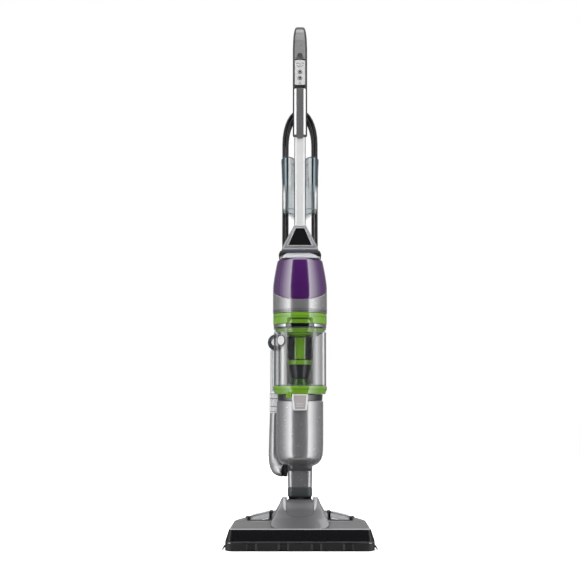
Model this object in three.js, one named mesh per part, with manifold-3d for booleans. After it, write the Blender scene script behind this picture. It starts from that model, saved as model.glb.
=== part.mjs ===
// Upright vacuum and steam floor cleaner, in millimetres, +Z up. The front faces -Y and -X is the
// side of the suction duct. The origin is on the sole, under the axis of the dirt cup.
import * as THREE from "three";
import { mergeVertices } from "three/addons/utils/BufferGeometryUtils.js";
import Module from "manifold-3d";

const wasm = await Module();
wasm.setup();

// ---------------------------------------------------------------- driving dimensions
const GAP = 0.4; // between pieces that touch
const SIDES = 32; // facets of a large round piece
const SMALL_SIDES = 16; // facets of a small round piece
const WALL = 3; // moulded shells
const THIN_WALL = 2.5; // clear parts
const BIG = 1500; // longer than any cut has to be
const MERGE = 1e-3; // corners this near each other are one

// Foot
const FOOT_HALF = 157; // half the width across the bumper lip
const FOOT_FRONT = -112;
const FOOT_REAR = 78;
const FOOT_CORNER = 16; // corner radius seen from above
const LIP_TOP = 17.4;
const LIP_BOTTOM = 1;
const STRIP_TOP = 20.2; // silver strip above the lip
const PANEL_TOP = 44.3; // gloss panel above the strip
const SHOULDER_TOP = 54;
const SADDLE_TOP = 73; // roof of the foot beside the hood
const FRONT_WRAP_Y = -72; // how far back the front pieces wrap round the corners
const SOLE_THICK = 8;
const SLOT_HALF = 118; // suction slot in the sole
const SLOT_FRONT = -99;
const SLOT_REAR = -87;
const FUNNEL_TOP = 30;
const NOTCH_DEPTH = 3;
const NOTCHES = [-101, -34.5, 34.5, 101]; // where the lip lets coarse dirt in
const NOTCH_HALF = 9.5;
const BRISTLE_LENGTH = 9.5;
const BRISTLE_THICK = 2.2;

// Pedals beside the hood
const PEDAL_INNER = 62;
const PEDAL_OUTER = 113;
const PEDAL_PIN_Y = -8;
const PEDAL_PIN_INNER_Z = 69;
const PEDAL_PIN_OUTER_Z = 57;
const PEDAL_PIN_R = 2.2;
const PEDAL_REACH = 27;
const PEDAL_THICK = 4;
const PEDAL_SLOPE = THREE.MathUtils.degToRad(22);

// Wheels at the back of the foot
const WHEEL_R = 14;
const WHEEL_WIDTH = 14;
const WHEEL_X = 52;
const WHEEL_Y = 58;
const AXLE_R = 2.5;
const RUNNING = 0.35; // radial play of a turning piece

// Pivot and swivel
const PIVOT_Y = 34;
const PIVOT_Z = 58;
const BARREL_R = 38;
const BARREL_HALF = 27.5;
const PIVOT_PIN_R = 8;
const CHEEK_INNER = 29;
const HOOD_HALF = 40;
const HOOD_FLARE = 61;
const HOOD_TOP = PIVOT_Z + BARREL_R + 5;
const SPIGOT_R = 17.6;
const SPIGOT_HEIGHT = 16;
const SPIGOT_BORE_R = 13;

// Neck and lower body
const COLLAR_BOTTOM = HOOD_TOP + 1;
const COLLAR_HEIGHT = 19.4;
const NECK_HALF_WIDTH = 27.3;
const NECK_HALF_DEPTH = 22;
const NECK_CORNER = 14;
const NECK_TOP = 186;
const LOWER_BOTTOM = 169;
const LOWER_TOP = 311.6;
const LOWER_R = 51.5;
const BACK_HALF = 37.5; // flat back of the lower body and the spine
const BACK_Y = 60.6;
const SHELL_SPLIT_Y = 10;
const LIP_LEVEL = 189; // front shell's lower edge, on the body's axis
const LIP_SLOPE = 0.2;
const DECK_HEIGHT = 15;
const SPINE_DEPTH = 16;
const SPINE_BOTTOM = 190;
const SPINE_TOP = 590;

// Dirt cup, from its bottom upwards
const CUP_R = 58.3;
const CUP_BOTTOM = LOWER_TOP + GAP + DECK_HEIGHT;
const DOOR_HEIGHT = 17.2;
const DOOR_R = CUP_R + 1.5;
const CUP_WALL_HEIGHT = 128.4;
const GASKET_HEIGHT = 7;
const CUP_COLLAR_HEIGHT = 24;
const CUP_COLLAR_R = CUP_R + 1.5;
const CONE_TOP_R = 27;
const CONE_LOW_R = 19;
const STAND_R = 21.5;

// Suction duct on the -X side
const DUCT_X = -54;
const DUCT_Y = 58;
const DUCT_R = 14;
const DUCT_BORE_R = 11.4;
const RISER_R = 12.8;
const CUFF_R = 15.2;
const CUFF_BOTTOM = 286;
const CUFF_TOP = 330;
const INLET_Z = 444;
const INLET_FLANGE_R = 18.8;
const INLET_FACE_Y = 41;
const NECK_PORT_Z = LOWER_BOTTOM - DUCT_R + 2.6;

// Motor section
const MOTOR_R = CUP_R + 2.1;
const HOOD_KNEE_Z = 563;
const HOOD_TOP_R = 48;
const HOOD_HEIGHT = 120.5; // grey housing and purple hood together
const SEAM_Z = 558; // the sloping seam between the two, on the axis
const SEAM_SLOPE = 0.42;
const MOTOR_CAN_R = 40;
const SHAFT_R = 4;

// Shoulder, yoke and pole
const RING_HEIGHT = 10.6;
const RING_R = 44;
const SHOULDER_HALF = 47;
const SHOULDER_TOP_HALF = 41.5;
const SHOULDER_HEIGHT = 12;
const YOKE_HEIGHT = 58.5;
const POLE_HALF = 12.3;
const POLE_FRONT = -27;
const POLE_BACK = 3;
const POLE_CORNER = 5;
const POLE_WALL = 1.6;
const SLEEVE_BOTTOM = 904;
const SLEEVE_HEIGHT = 114;
const SLEEVE_HALF = 16.3;
const SLEEVE_FRONT = -30;
const SLEEVE_BACK = 8;
const POLE_INSERT = 52; // how far the pole goes up into the sleeve

// Handle
const GRIP_HEIGHT = 150; // above the sleeve
const PANEL_BASE = 6; // the panel starts this far above the sleeve
const PANEL_HEIGHT = 61.5;
const PANEL_HALF = 11.8;
const COVER_THICK = 3;
const BUTTON_R = 3.7;
const BUTTON_TRAVEL = 1.2;
const VACUUM_BUTTON_UP = 38.5; // above the sleeve
const STEAM_BUTTON_UP = 24.5;

// Water tank behind the pole
const DOCK_BOTTOM = 702.6;
const DOCK_HEIGHT = 21.6;
const DOCK_R = 12.2;
const TANK_AXIS_Y = 24;
const TANK_HEIGHT = 138;
const TANK_TOP_HALF = 43.3;
const TANK_BOTTOM_SHARE = 0.88; // of the top's width
const TANK_BACK = 50;
const TANK_LOBE_R = 17;
const TANK_FLOOR_RISE = 14; // the floor is lower in the middle
const CAP_R = 9.2;

// Cord and its hooks
const CORD_R = 3.5;
const LAYERS = 5;
const COLUMNS = 2;
const WIND_FRONT = 60;
const WIND_DEPTH = LAYERS * 2 * CORD_R;
const WIND_WIDTH = COLUMNS * 2 * CORD_R + 1;
const WIND_HALF = 41.5;
const WIND_LOW_Z = 642;
const WIND_HIGH_Z = 911;
const WIND_TOP_RISE = 84;
const HOOK_LIP = 6;
const RELIEF_HEIGHT = 28;

// ---------------------------------------------------------------- colours
const finish = (color, roughness, metalness = 0) =>
  new THREE.MeshStandardMaterial({ color, roughness, metalness });
const clear = (color) =>
  new THREE.MeshStandardMaterial({ color, roughness: 0.1, transparent: true, opacity: 0.4 });
const GREY = finish(0x8c8c8f, 0.35, 0.3);
const DARK_GREY = finish(0x4a4c4e, 0.45);
const BLACK = finish(0x1c1c1e, 0.5);
const GLOSS_BLACK = finish(0x121214, 0.15);
const SILVER = finish(0xdedee0, 0.3, 0.4);
const PURPLE = finish(0x4b1768, 0.2);
const GREEN = finish(0x76b42a, 0.3);
const STEEL = finish(0xb4b4b8, 0.3, 0.9);
const RUBBER = finish(0x17171a, 0.8);
const FOAM = finish(0x3a3a3c, 0.95);
const CLEAR = clear(0xd5dbe0);
const TEAL = clear(0x9fc0c8);
const SMOKE = clear(0x55585f);

// ---------------------------------------------------------------- making and joining solids
// A geometry as a manifold-3d solid whose faces point outwards.
function solid(geometry) {
  const bare = new THREE.BufferGeometry();
  bare.setAttribute("position", geometry.getAttribute("position").clone());
  if (geometry.index) bare.setIndex(geometry.index.clone());
  const merged = mergeVertices(bare, MERGE);
  const corners = Array.from(merged.index.array);
  const faces = [];
  for (let i = 0; i < corners.length; i += 3) {
    const [a, b, c] = corners.slice(i, i + 3);
    if (a !== b && b !== c && a !== c) faces.push(a, b, c);
  }
  const build = (triangles) =>
    new wasm.Manifold(
      new wasm.Mesh({
        numProp: 3,
        vertProperties: merged.getAttribute("position").array,
        triVerts: new Uint32Array(triangles),
      }),
    );
  const made = build(faces);
  if (made.volume() > 0) return made;
  const turned = [];
  for (let i = 0; i < faces.length; i += 3) turned.push(faces[i], faces[i + 2], faces[i + 1]);
  return build(turned);
}

const join = (first, ...rest) => rest.reduce((whole, piece) => whole.add(piece), first);
const cut = (first, ...rest) => rest.reduce((whole, piece) => whole.subtract(piece), first);
const common = (first, ...rest) => rest.reduce((whole, piece) => whole.intersect(piece), first);

// A solid as a three.js geometry.
function geometryOf(made) {
  const { vertProperties, triVerts, numProp } = made.getMesh();
  const places = [];
  for (let i = 0; i < vertProperties.length; i += numProp) {
    places.push(vertProperties[i], vertProperties[i + 1], vertProperties[i + 2]);
  }
  const geometry = new THREE.BufferGeometry();
  geometry.setAttribute("position", new THREE.Float32BufferAttribute(places, 3));
  geometry.setIndex(Array.from(triVerts));
  geometry.computeVertexNormals();
  return geometry;
}

function part(name, made, material) {
  const mesh = new THREE.Mesh(geometryOf(made), material);
  mesh.name = name;
  return mesh;
}

function group(...children) {
  const holder = new THREE.Group();
  holder.add(...children);
  return holder;
}

// ---------------------------------------------------------------- outlines and basic shapes
function polygon(points) {
  return new THREE.Shape(points.map(([u, v]) => new THREE.Vector2(u, v)));
}

function disc(radius, u = 0, v = 0) {
  const shape = new THREE.Shape();
  shape.absarc(u, v, radius, 0, 2 * Math.PI);
  return shape;
}

function roundRect(u0, u1, v0, v1, radius) {
  const shape = new THREE.Shape();
  shape.moveTo(u0 + radius, v0);
  shape.absarc(u1 - radius, v0 + radius, radius, -Math.PI / 2, 0);
  shape.absarc(u1 - radius, v1 - radius, radius, 0, Math.PI / 2);
  shape.absarc(u0 + radius, v1 - radius, radius, Math.PI / 2, Math.PI);
  shape.absarc(u0 + radius, v0 + radius, radius, Math.PI, 1.5 * Math.PI);
  return shape;
}

function extruded(shape, depth, curveSegments = 6, steps = 1) {
  return new THREE.ExtrudeGeometry(shape, { depth, steps, curveSegments, bevelEnabled: false });
}

// An outline in x and y, from z0 up to z1.
function prismZ(shape, z0, z1, curveSegments) {
  return solid(extruded(shape, z1 - z0, curveSegments).translate(0, 0, z0));
}

// An outline in y and z, from x0 to x1.
function prismX(shape, x0, x1, curveSegments) {
  const turn = new THREE.Matrix4().makeBasis(
    new THREE.Vector3(0, 1, 0),
    new THREE.Vector3(0, 0, 1),
    new THREE.Vector3(1, 0, 0),
  );
  return solid(extruded(shape, x1 - x0, curveSegments).applyMatrix4(turn).translate(x0, 0, 0));
}

// An outline in x and z, from y0 to y1.
function prismY(shape, y0, y1, curveSegments) {
  const turn = new THREE.Matrix4().makeBasis(
    new THREE.Vector3(1, 0, 0),
    new THREE.Vector3(0, 0, 1),
    new THREE.Vector3(0, -1, 0),
  );
  return solid(extruded(shape, y1 - y0, curveSegments).applyMatrix4(turn).translate(0, y1, 0));
}

function box(x0, x1, y0, y1, z0, z1) {
  const block = new THREE.BoxGeometry(x1 - x0, y1 - y0, z1 - z0);
  return solid(block.translate((x0 + x1) / 2, (y0 + y1) / 2, (z0 + z1) / 2));
}

// A round bar along z, y or x, centred on (u, v) of the other two axes.
function barZ(radius, z0, z1, x = 0, y = 0, sides = SMALL_SIDES) {
  const bar = new THREE.CylinderGeometry(radius, radius, z1 - z0, sides).rotateX(Math.PI / 2);
  return solid(bar.translate(x, y, (z0 + z1) / 2));
}

function barY(radius, y0, y1, x = 0, z = 0, sides = SMALL_SIDES) {
  const bar = new THREE.CylinderGeometry(radius, radius, y1 - y0, sides);
  return solid(bar.translate(x, (y0 + y1) / 2, z));
}

function barX(radius, x0, x1, y = 0, z = 0, sides = SMALL_SIDES) {
  const bar = new THREE.CylinderGeometry(radius, radius, x1 - x0, sides).rotateZ(Math.PI / 2);
  return solid(bar.translate((x0 + x1) / 2, y, z));
}

// A profile of [radius, z] pairs, turned about the z axis. A closed profile repeats its first pair.
function turned(profile, sides = SIDES) {
  const points = profile.map(([radius, z]) => new THREE.Vector2(radius, z));
  return solid(new THREE.LatheGeometry(points, sides).rotateX(Math.PI / 2));
}

function ring(inner, outer, z0, z1, sides = SIDES) {
  const profile = [[inner, z0], [outer, z0], [outer, z1], [inner, z1], [inner, z0]];
  return turned(profile, sides);
}

// An outline carried up from z0 to z1, scaled about (0, centreY) by widths, which holds
// [z, share of x, share of y] from the bottom to the top.
function tapered(shape, widths, centreY = 0, curveSegments = 6) {
  const geometry = extruded(shape, widths.length - 1, curveSegments, widths.length - 1);
  const place = geometry.getAttribute("position");
  for (let i = 0; i < place.count; i += 1) {
    const [z, shareX, shareY] = widths[Math.round(place.getZ(i))];
    place.setXYZ(i, place.getX(i) * shareX, centreY + (place.getY(i) - centreY) * shareY, z);
  }
  return solid(geometry);
}

function regular(radius, sides) {
  const corner = (i) => (2 * Math.PI * (i + 0.5)) / sides;
  const points = Array.from({ length: sides }, (_, i) => [
    radius * Math.cos(corner(i)),
    radius * Math.sin(corner(i)),
  ]);
  return polygon(points);
}

// A round bar that follows points.
function pipe(points, radius, sides, steps) {
  const path = new THREE.CatmullRomCurve3(points.map(([x, y, z]) => new THREE.Vector3(x, y, z)));
  const options = { steps, extrudePath: path, bevelEnabled: false };
  return solid(new THREE.ExtrudeGeometry(regular(radius, sides), options));
}

// Everything above (or below) the plane z = level + slope * y.
function aboveSlope(level, slope) {
  const top = level + BIG;
  const edge = [[-BIG, level - slope * BIG], [BIG, level + slope * BIG], [BIG, top], [-BIG, top]];
  return prismX(polygon(edge), -BIG, BIG);
}

// ---------------------------------------------------------------- foot
// The foot's outer form, or the same form with every face moved in by inset.
function footForm(inset) {
  const half = FOOT_HALF - inset;
  const side = polygon([
    [FOOT_FRONT + inset, 0],
    [FOOT_FRONT + inset, LIP_TOP + 1],
    [FOOT_FRONT + 9 + inset, PANEL_TOP - inset],
    [-42, SHOULDER_TOP - inset],
    [PEDAL_PIN_Y + 3, SADDLE_TOP + 2 - inset],
    [22, SADDLE_TOP + 2 - inset],
    [52, 50 - inset],
    [FOOT_REAR - inset, 32 - inset],
    [FOOT_REAR - inset, 0],
  ]);
  const front = polygon([
    [-half, 0],
    [-half, LIP_TOP + 1],
    [-half + 6.5, PANEL_TOP],
    [-half + 12, SHOULDER_TOP - inset],
    [-PEDAL_OUTER - 1, SHOULDER_TOP + 5 - inset],
    [-HOOD_FLARE, SADDLE_TOP - inset],
    [HOOD_FLARE, SADDLE_TOP - inset],
    [PEDAL_OUTER + 1, SHOULDER_TOP + 5 - inset],
    [half - 12, SHOULDER_TOP - inset],
    [half - 6.5, PANEL_TOP],
    [half, LIP_TOP + 1],
    [half, 0],
  ]);
  const plan = new THREE.Shape();
  const corner = FOOT_CORNER - inset;
  plan.moveTo(-half + corner, FOOT_FRONT + inset);
  plan.absarc(half - corner, FOOT_FRONT + inset + corner, corner, -Math.PI / 2, 0);
  plan.lineTo(half, -50);
  plan.bezierCurveTo(half, 0, PEDAL_OUTER + 6 - inset, 16 - inset, 92 - inset, 30 - inset);
  plan.lineTo(71 - inset, FOOT_REAR - inset);
  plan.lineTo(-71 + inset, FOOT_REAR - inset);
  plan.lineTo(-92 + inset, 30 - inset);
  plan.bezierCurveTo(-PEDAL_OUTER - 6 + inset, 16 - inset, -half, 0, -half, -50);
  plan.absarc(-half + corner, FOOT_FRONT + inset + corner, corner, Math.PI, 1.5 * Math.PI);
  return common(prismX(side, -BIG, BIG), prismY(front, -BIG, BIG), prismZ(plan, 0, BIG));
}

// The raised middle that holds the pivot.
function hoodForm(inset) {
  const side = new THREE.Shape();
  side.moveTo(FOOT_FRONT + 12 + inset, PANEL_TOP - inset);
  side.lineTo(-60, SHOULDER_TOP + 9 - inset);
  side.lineTo(-34, SADDLE_TOP + 2 - inset);
  side.lineTo(-18, 92 - inset);
  side.absarc(PIVOT_Y, PIVOT_Z, HOOD_TOP - PIVOT_Z - inset, THREE.MathUtils.degToRad(125), 0, true);
  side.lineTo(FOOT_REAR - inset - 6, 30);
  side.lineTo(FOOT_REAR - inset - 6, SOLE_THICK + GAP);
  side.lineTo(FOOT_FRONT + 12 + inset, SOLE_THICK + GAP);
  const front = polygon([
    [-HOOD_FLARE + inset, 0],
    [-HOOD_FLARE + inset, SHOULDER_TOP + 4 - inset],
    [-53 + inset, SADDLE_TOP - 2 - inset],
    [-46 + inset, 84 - inset],
    [-42 + inset, 95 - inset],
    [-HOOD_HALF + 1 + inset, HOOD_TOP - inset],
    [HOOD_HALF - 1 - inset, HOOD_TOP - inset],
    [42 - inset, 95 - inset],
    [46 - inset, 84 - inset],
    [53 - inset, SADDLE_TOP - 2 - inset],
    [HOOD_FLARE - inset, SHOULDER_TOP + 4 - inset],
    [HOOD_FLARE - inset, 0],
  ]);
  return common(prismX(side, -BIG, BIG, 10), prismY(front, -BIG, BIG));
}

// Everything of the front pieces lies in front of this plane, within a band of heights.
const frontBand = (z0, z1) => box(-BIG, BIG, -BIG, FRONT_WRAP_Y, z0, z1);

function frontRing(z0, z1, thick) {
  return common(cut(footForm(0), footForm(thick)), frontBand(z0, z1));
}

function soleOutline() {
  return common(footForm(WALL + 3), box(-BIG, BIG, -BIG, BIG, 0, SOLE_THICK));
}

// One ear on each side of each wheel holds the axle.
function wheelEars() {
  const earsAt = (side) =>
    [-1, 1].map((end) => {
      const middle = side * WHEEL_X + end * (WHEEL_WIDTH / 2 + GAP + 1.8);
      return box(middle - 1.8, middle + 1.8, WHEEL_Y - 7, WHEEL_Y + 7, 1, WHEEL_R + 7);
    });
  return [...earsAt(-1), ...earsAt(1)];
}

// The slanted line of one pedal's pin, from its inner to its outer knuckle.
function pedalFrame(side) {
  const run = PEDAL_OUTER - PEDAL_INNER;
  const fall = PEDAL_PIN_INNER_Z - PEDAL_PIN_OUTER_Z;
  return {
    x: (side * (PEDAL_INNER + PEDAL_OUTER)) / 2,
    z: (PEDAL_PIN_INNER_Z + PEDAL_PIN_OUTER_Z) / 2,
    tilt: side * Math.atan2(fall, run),
    half: Math.hypot(run, fall) / 2,
  };
}

// Puts a solid that was made about one pedal's pin in its place.
function atPedal(made, side) {
  const { x, z, tilt } = pedalFrame(side);
  return made.rotate([0, THREE.MathUtils.radToDeg(tilt), 0]).translate([x, PEDAL_PIN_Y, z]);
}

// The bracket of one pedal: two ears on a foot, and the pin between them.
function pedalBracket(side) {
  const { half, x, z } = pedalFrame(side);
  const ear = (end) => {
    const middle = end * (half - 2.5);
    return join(barX(5, middle - 2, middle + 2), box(middle - 2, middle + 2, -4, 4, -14, 0));
  };
  const pin = barX(PEDAL_PIN_R, 3 - half, half - 3);
  const post = box(x - 24, x + 24, PEDAL_PIN_Y - 5, PEDAL_PIN_Y + 5, SOLE_THICK - 2, z - 16);
  const low = atPedal(box(-half + 0.5, half - 0.5, -5, 5, -17, -13), side);
  return join(atPedal(join(ear(-1), ear(1), pin), side), low, post);
}

function pedal(side) {
  const { half } = pedalFrame(side);
  const width = half - 6;
  const reach = PEDAL_REACH * Math.cos(PEDAL_SLOPE);
  const drop = PEDAL_REACH * Math.sin(PEDAL_SLOPE);
  const plate = polygon([
    [0, 4.6],
    [-reach, 4.6 - drop],
    [-reach, 4.6 - drop - PEDAL_THICK],
    [0, -4.6],
    [4, -3],
    [4, 3],
  ]);
  const body = cut(prismX(plate, -width, width), barX(PEDAL_PIN_R + RUNNING, -BIG, BIG));
  return atPedal(body, side);
}

function solePlate() {
  const slot = box(-SLOT_HALF, SLOT_HALF, SLOT_FRONT, SLOT_REAR, -1, SOLE_THICK + 1);
  const wells = [-1, 1].map((side) => {
    const middle = side * WHEEL_X;
    const half = WHEEL_WIDTH / 2 + 0.8;
    return box(middle - half, middle + half, WHEEL_Y - WHEEL_R - 2, WHEEL_Y + WHEEL_R + 2, -1, 40);
  });
  const bore = barX(AXLE_R + GAP, -BIG, BIG, WHEEL_Y, WHEEL_R);
  const body = join(cut(soleOutline(), slot), ...wheelEars());
  return join(cut(body, ...wells, bore), pedalBracket(-1), pedalBracket(1));
}

// Room for the barrel, and for the neck as it leans back.
function pivotSlot() {
  const barrel = barX(BARREL_R + 1, -CHEEK_INNER, CHEEK_INNER, PIVOT_Y, PIVOT_Z, SIDES);
  const behind = box(-CHEEK_INNER, CHEEK_INNER, PIVOT_Y, BIG, PIVOT_Z - 16, BIG);
  const above = box(-CHEEK_INNER, CHEEK_INNER, PIVOT_Y - 25, BIG, 90, BIG);
  return join(barrel, behind, above);
}

function footCover() {
  const outer = join(footForm(0), hoodForm(0));
  const cheeks = [-1, 1].map((side) => {
    const middle = (side * (CHEEK_INNER + HOOD_HALF)) / 2;
    const half = (HOOD_HALF - CHEEK_INNER) / 2 + 1;
    return box(middle - half, middle + half, PIVOT_Y - 36, PIVOT_Y + 25, 20, BIG);
  });
  const hollow = cut(join(footForm(WALL), hoodForm(WALL)), ...cheeks);
  const below = box(-BIG, BIG, -BIG, BIG, -BIG, SOLE_THICK + GAP);
  const front = frontBand(-BIG, PANEL_TOP + GAP);
  const windows = [-1, 1].map((side) => {
    const middle = (side * (PEDAL_INNER + PEDAL_OUTER)) / 2;
    const half = (PEDAL_OUTER - PEDAL_INNER) / 2 + 1.5;
    return box(middle - half, middle + half, PEDAL_PIN_Y - PEDAL_REACH - 3, PEDAL_PIN_Y + 6, 20, BIG);
  });
  const pins = barX(PIVOT_PIN_R, -CHEEK_INNER - 4, CHEEK_INNER + 4, PIVOT_Y, PIVOT_Z);
  const gapBetweenPins = box(-BARREL_HALF + 8, BARREL_HALF - 8, -BIG, BIG, 0, BIG);
  const shell = cut(outer, hollow, below, front, pivotSlot(), ...windows);
  return join(shell, cut(pins, gapBetweenPins));
}

function bumperLip() {
  const notches = NOTCHES.map((x) =>
    box(x - NOTCH_HALF, x + NOTCH_HALF, -BIG, SLOT_FRONT, 0, LIP_BOTTOM + NOTCH_DEPTH),
  );
  return cut(frontRing(LIP_BOTTOM, LIP_TOP, WALL + 2), ...notches);
}

// A strip that hangs outwards from the lip at each side.
function cornerBristle(side) {
  const run = BRISTLE_LENGTH * Math.SQRT1_2;
  const thick = BRISTLE_THICK * Math.SQRT1_2;
  const tip = 0.3;
  const root = FOOT_HALF + GAP;
  const strip = polygon([
    [root, tip + run],
    [root + run - thick, tip],
    [root + run, tip],
    [root + run, tip + thick],
    [root, tip + run + 2 * thick],
  ]);
  const right = prismY(strip, FOOT_FRONT + FOOT_CORNER + 2, -58);
  return side > 0 ? right : right.mirror([1, 0, 0]);
}

// Leads the air from the slot to the barrel.
function suctionFunnel() {
  const outline = (inset, mouth) =>
    polygon([
      [-SLOT_HALF - 4 + inset, SLOT_FRONT - 4 + inset],
      [SLOT_HALF + 4 - inset, SLOT_FRONT - 4 + inset],
      [SLOT_HALF + 4 - inset, SLOT_REAR + 6 - inset],
      [24 - inset, PIVOT_Y - BARREL_R - 9 + mouth],
      [-24 + inset, PIVOT_Y - BARREL_R - 9 + mouth],
      [-SLOT_HALF - 4 + inset, SLOT_REAR + 6 - inset],
    ]);
  const low = SOLE_THICK + GAP;
  const outer = prismZ(outline(0, 0), low, FUNNEL_TOP);
  const inner = prismZ(outline(2.2, 4), low + 2.2, FUNNEL_TOP - 2.2);
  const mouth = box(-SLOT_HALF, SLOT_HALF, SLOT_FRONT, SLOT_REAR, low - 1, low + 4);
  return cut(outer, inner, mouth);
}

function wheel(side) {
  const middle = side * WHEEL_X;
  const half = WHEEL_WIDTH / 2;
  const tread = barX(WHEEL_R, middle - half, middle + half, WHEEL_Y, WHEEL_R, 32);
  return cut(tread, barX(AXLE_R + RUNNING, -BIG, BIG, WHEEL_Y, WHEEL_R));
}

function foot() {
  const axleHalf = WHEEL_X + WHEEL_WIDTH / 2 + 6;
  return group(
    part("sole_plate", solePlate(), BLACK),
    part("foot_cover", footCover(), GREY),
    part("front_panel", frontRing(STRIP_TOP + GAP, PANEL_TOP, WALL + 1), GLOSS_BLACK),
    part("trim_strip", frontRing(LIP_TOP + GAP, STRIP_TOP, WALL + 1), SILVER),
    part("bumper_lip", bumperLip(), RUBBER),
    part("left_corner_bristle", cornerBristle(-1), RUBBER),
    part("right_corner_bristle", cornerBristle(1), RUBBER),
    part("suction_funnel", suctionFunnel(), DARK_GREY),
    part("wheel_axle", barX(AXLE_R, -axleHalf, axleHalf, WHEEL_Y, WHEEL_R), STEEL),
    part("left_pedal", pedal(-1), SMOKE),
    part("right_pedal", pedal(1), SMOKE),
    part("left_wheel", wheel(-1), BLACK),
    part("right_wheel", wheel(1), BLACK),
  );
}

// ---------------------------------------------------------------- pivot, neck and lower body
const neckOutline = (inset) =>
  roundRect(
    -NECK_HALF_WIDTH + inset,
    NECK_HALF_WIDTH - inset,
    PIVOT_Y - NECK_HALF_DEPTH + inset,
    PIVOT_Y + NECK_HALF_DEPTH - inset,
    NECK_CORNER - inset,
  );

// The barrel turns on the pins of the foot, and its spigot turns in the swivel collar.
function pivotBarrel() {
  const barrel = barX(BARREL_R, -BARREL_HALF, BARREL_HALF, PIVOT_Y, PIVOT_Z, SIDES);
  const table = prismZ(neckOutline(3), PIVOT_Z, COLLAR_BOTTOM - GAP);
  const spigot = barZ(SPIGOT_R, PIVOT_Z, COLLAR_BOTTOM + SPIGOT_HEIGHT, 0, PIVOT_Y, SIDES);
  const bore = barZ(SPIGOT_BORE_R, PIVOT_Z, BIG, 0, PIVOT_Y);
  const airway = box(-14, 14, PIVOT_Y - BARREL_R - 1, PIVOT_Y, PIVOT_Z - 28, PIVOT_Z - 6);
  const sump = box(-14, 14, PIVOT_Y - 13, PIVOT_Y + 13, PIVOT_Z - 28, PIVOT_Z + 1);
  const sockets = [-1, 1].map((side) => {
    const inner = side * (BARREL_HALF - 9);
    const outer = side * (BARREL_HALF + 1);
    const from = Math.min(inner, outer);
    return barX(PIVOT_PIN_R + RUNNING, from, Math.max(inner, outer), PIVOT_Y, PIVOT_Z);
  });
  return cut(join(barrel, table, spigot), bore, airway, sump, ...sockets);
}

function swivelCollar() {
  const outer = prismZ(neckOutline(0), COLLAR_BOTTOM, COLLAR_BOTTOM + COLLAR_HEIGHT);
  return cut(outer, barZ(SPIGOT_R + RUNNING, 0, BIG, 0, PIVOT_Y, SIDES));
}

const NECK_BOTTOM = COLLAR_BOTTOM + COLLAR_HEIGHT + GAP;

function neck() {
  const taper = [[NECK_BOTTOM, 0.98, 0.98], [NECK_TOP, 1.02, 1.02]];
  const outer = tapered(neckOutline(0), taper, PIVOT_Y);
  const inner = prismZ(neckOutline(4), NECK_BOTTOM + 3, NECK_TOP - 3);
  const floor = barZ(SPIGOT_BORE_R, NECK_BOTTOM - 1, NECK_BOTTOM + 4, 0, PIVOT_Y);
  const port = barX(DUCT_BORE_R, -BIG, 0, PIVOT_Y, NECK_PORT_Z);
  return cut(outer, inner, floor, port);
}

// The section of the lower body and its deck: round in front, with a flat back for the spine.
function lowerSection(inset) {
  const round = disc(LOWER_R - inset);
  const back = BACK_HALF - inset;
  return [round, polygon([[-back, 0], [back, 0], [back, BACK_Y - inset], [-back, BACK_Y - inset]])];
}

const lowerPrism = (inset, z0, z1) =>
  join(...lowerSection(inset).map((outline) => prismZ(outline, z0, z1, SIDES / 4)));

// The lower body draws in towards the neck. Each row is [height above its bottom, share].
const LOWER_TAPER = [[0, 0.58], [6.5, 0.77], [14, 0.885], [25, 0.935], [41, 0.97], [80, 1]];

function lowerForm(inset) {
  const centre = PIVOT_Y - 8;
  const rise = (share) => [share, share];
  const lowest = LOWER_BOTTOM + inset;
  const widths = LOWER_TAPER.map(([up, share]) => [lowest + up, ...rise(share)]);
  widths.push([LOWER_TOP + inset, 1, 1]);
  const pieces = lowerSection(inset).map((outline) => tapered(outline, widths, centre, SIDES / 4));
  return join(...pieces);
}

function lowerShells() {
  const neckHole = prismZ(neckOutline(-0.56 - GAP), 0, NECK_TOP + 2);
  const hollow = cut(lowerForm(0), lowerForm(WALL), neckHole);
  const ahead = box(-BIG, BIG, -BIG, SHELL_SPLIT_Y, 0, BIG);
  const frontPart = (play) =>
    common(
      box(-BIG, BIG, -BIG, SHELL_SPLIT_Y + play, 0, BIG),
      aboveSlope(LIP_LEVEL - play, LIP_SLOPE),
    );
  const latchSlot = box(-5, 5, -BIG, -40, LOWER_TOP - 24, BIG);
  const front = cut(common(hollow, ahead, frontPart(0)), latchSlot);
  const rear = cut(hollow, frontPart(GAP), hosePort(BACK_Y - WALL - 2, BIG));
  return [
    part("lower_front_shell", front, GREY),
    part("lower_rear_shell", rear, GREY),
  ];
}

function deck() {
  const low = LOWER_TOP + GAP;
  const high = low + DECK_HEIGHT - GAP;
  const hollow = lowerPrism(WALL + 1, low - 1, high - WALL);
  const latchNotch = box(-19, 19, -BIG, -LOWER_R + 4.5, 0, BIG);
  return cut(lowerPrism(1, low, high), hollow, latchNotch);
}

// The latch: a tab in front of the lower body, with a rib in the body's slot.
function cupLatch() {
  const top = CUP_BOTTOM - GAP;
  const tab = new THREE.Shape();
  tab.moveTo(-17.6, top);
  tab.lineTo(-15.4, top - 30);
  tab.quadraticCurveTo(-14.8, top - 35.5, -10, top - 35.5);
  tab.lineTo(10, top - 35.5);
  tab.quadraticCurveTo(14.8, top - 35.5, 15.4, top - 30);
  tab.lineTo(17.6, top);
  const plate = prismY(tab, -LOWER_R - 6, -LOWER_R - GAP);
  const rib = box(-4, 4, -LOWER_R - 1, -LOWER_R + 8, top - 28, top - 16);
  return join(plate, rib);
}

const boiler = () =>
  join(
    turned([[0, 206], [22, 206], [26, 211], [26, 258], [22, 264], [0, 264]], 32),
    barZ(5, 260, 274, 9, 0),
    barZ(4, 194, 210, -8, 8),
  );

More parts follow.
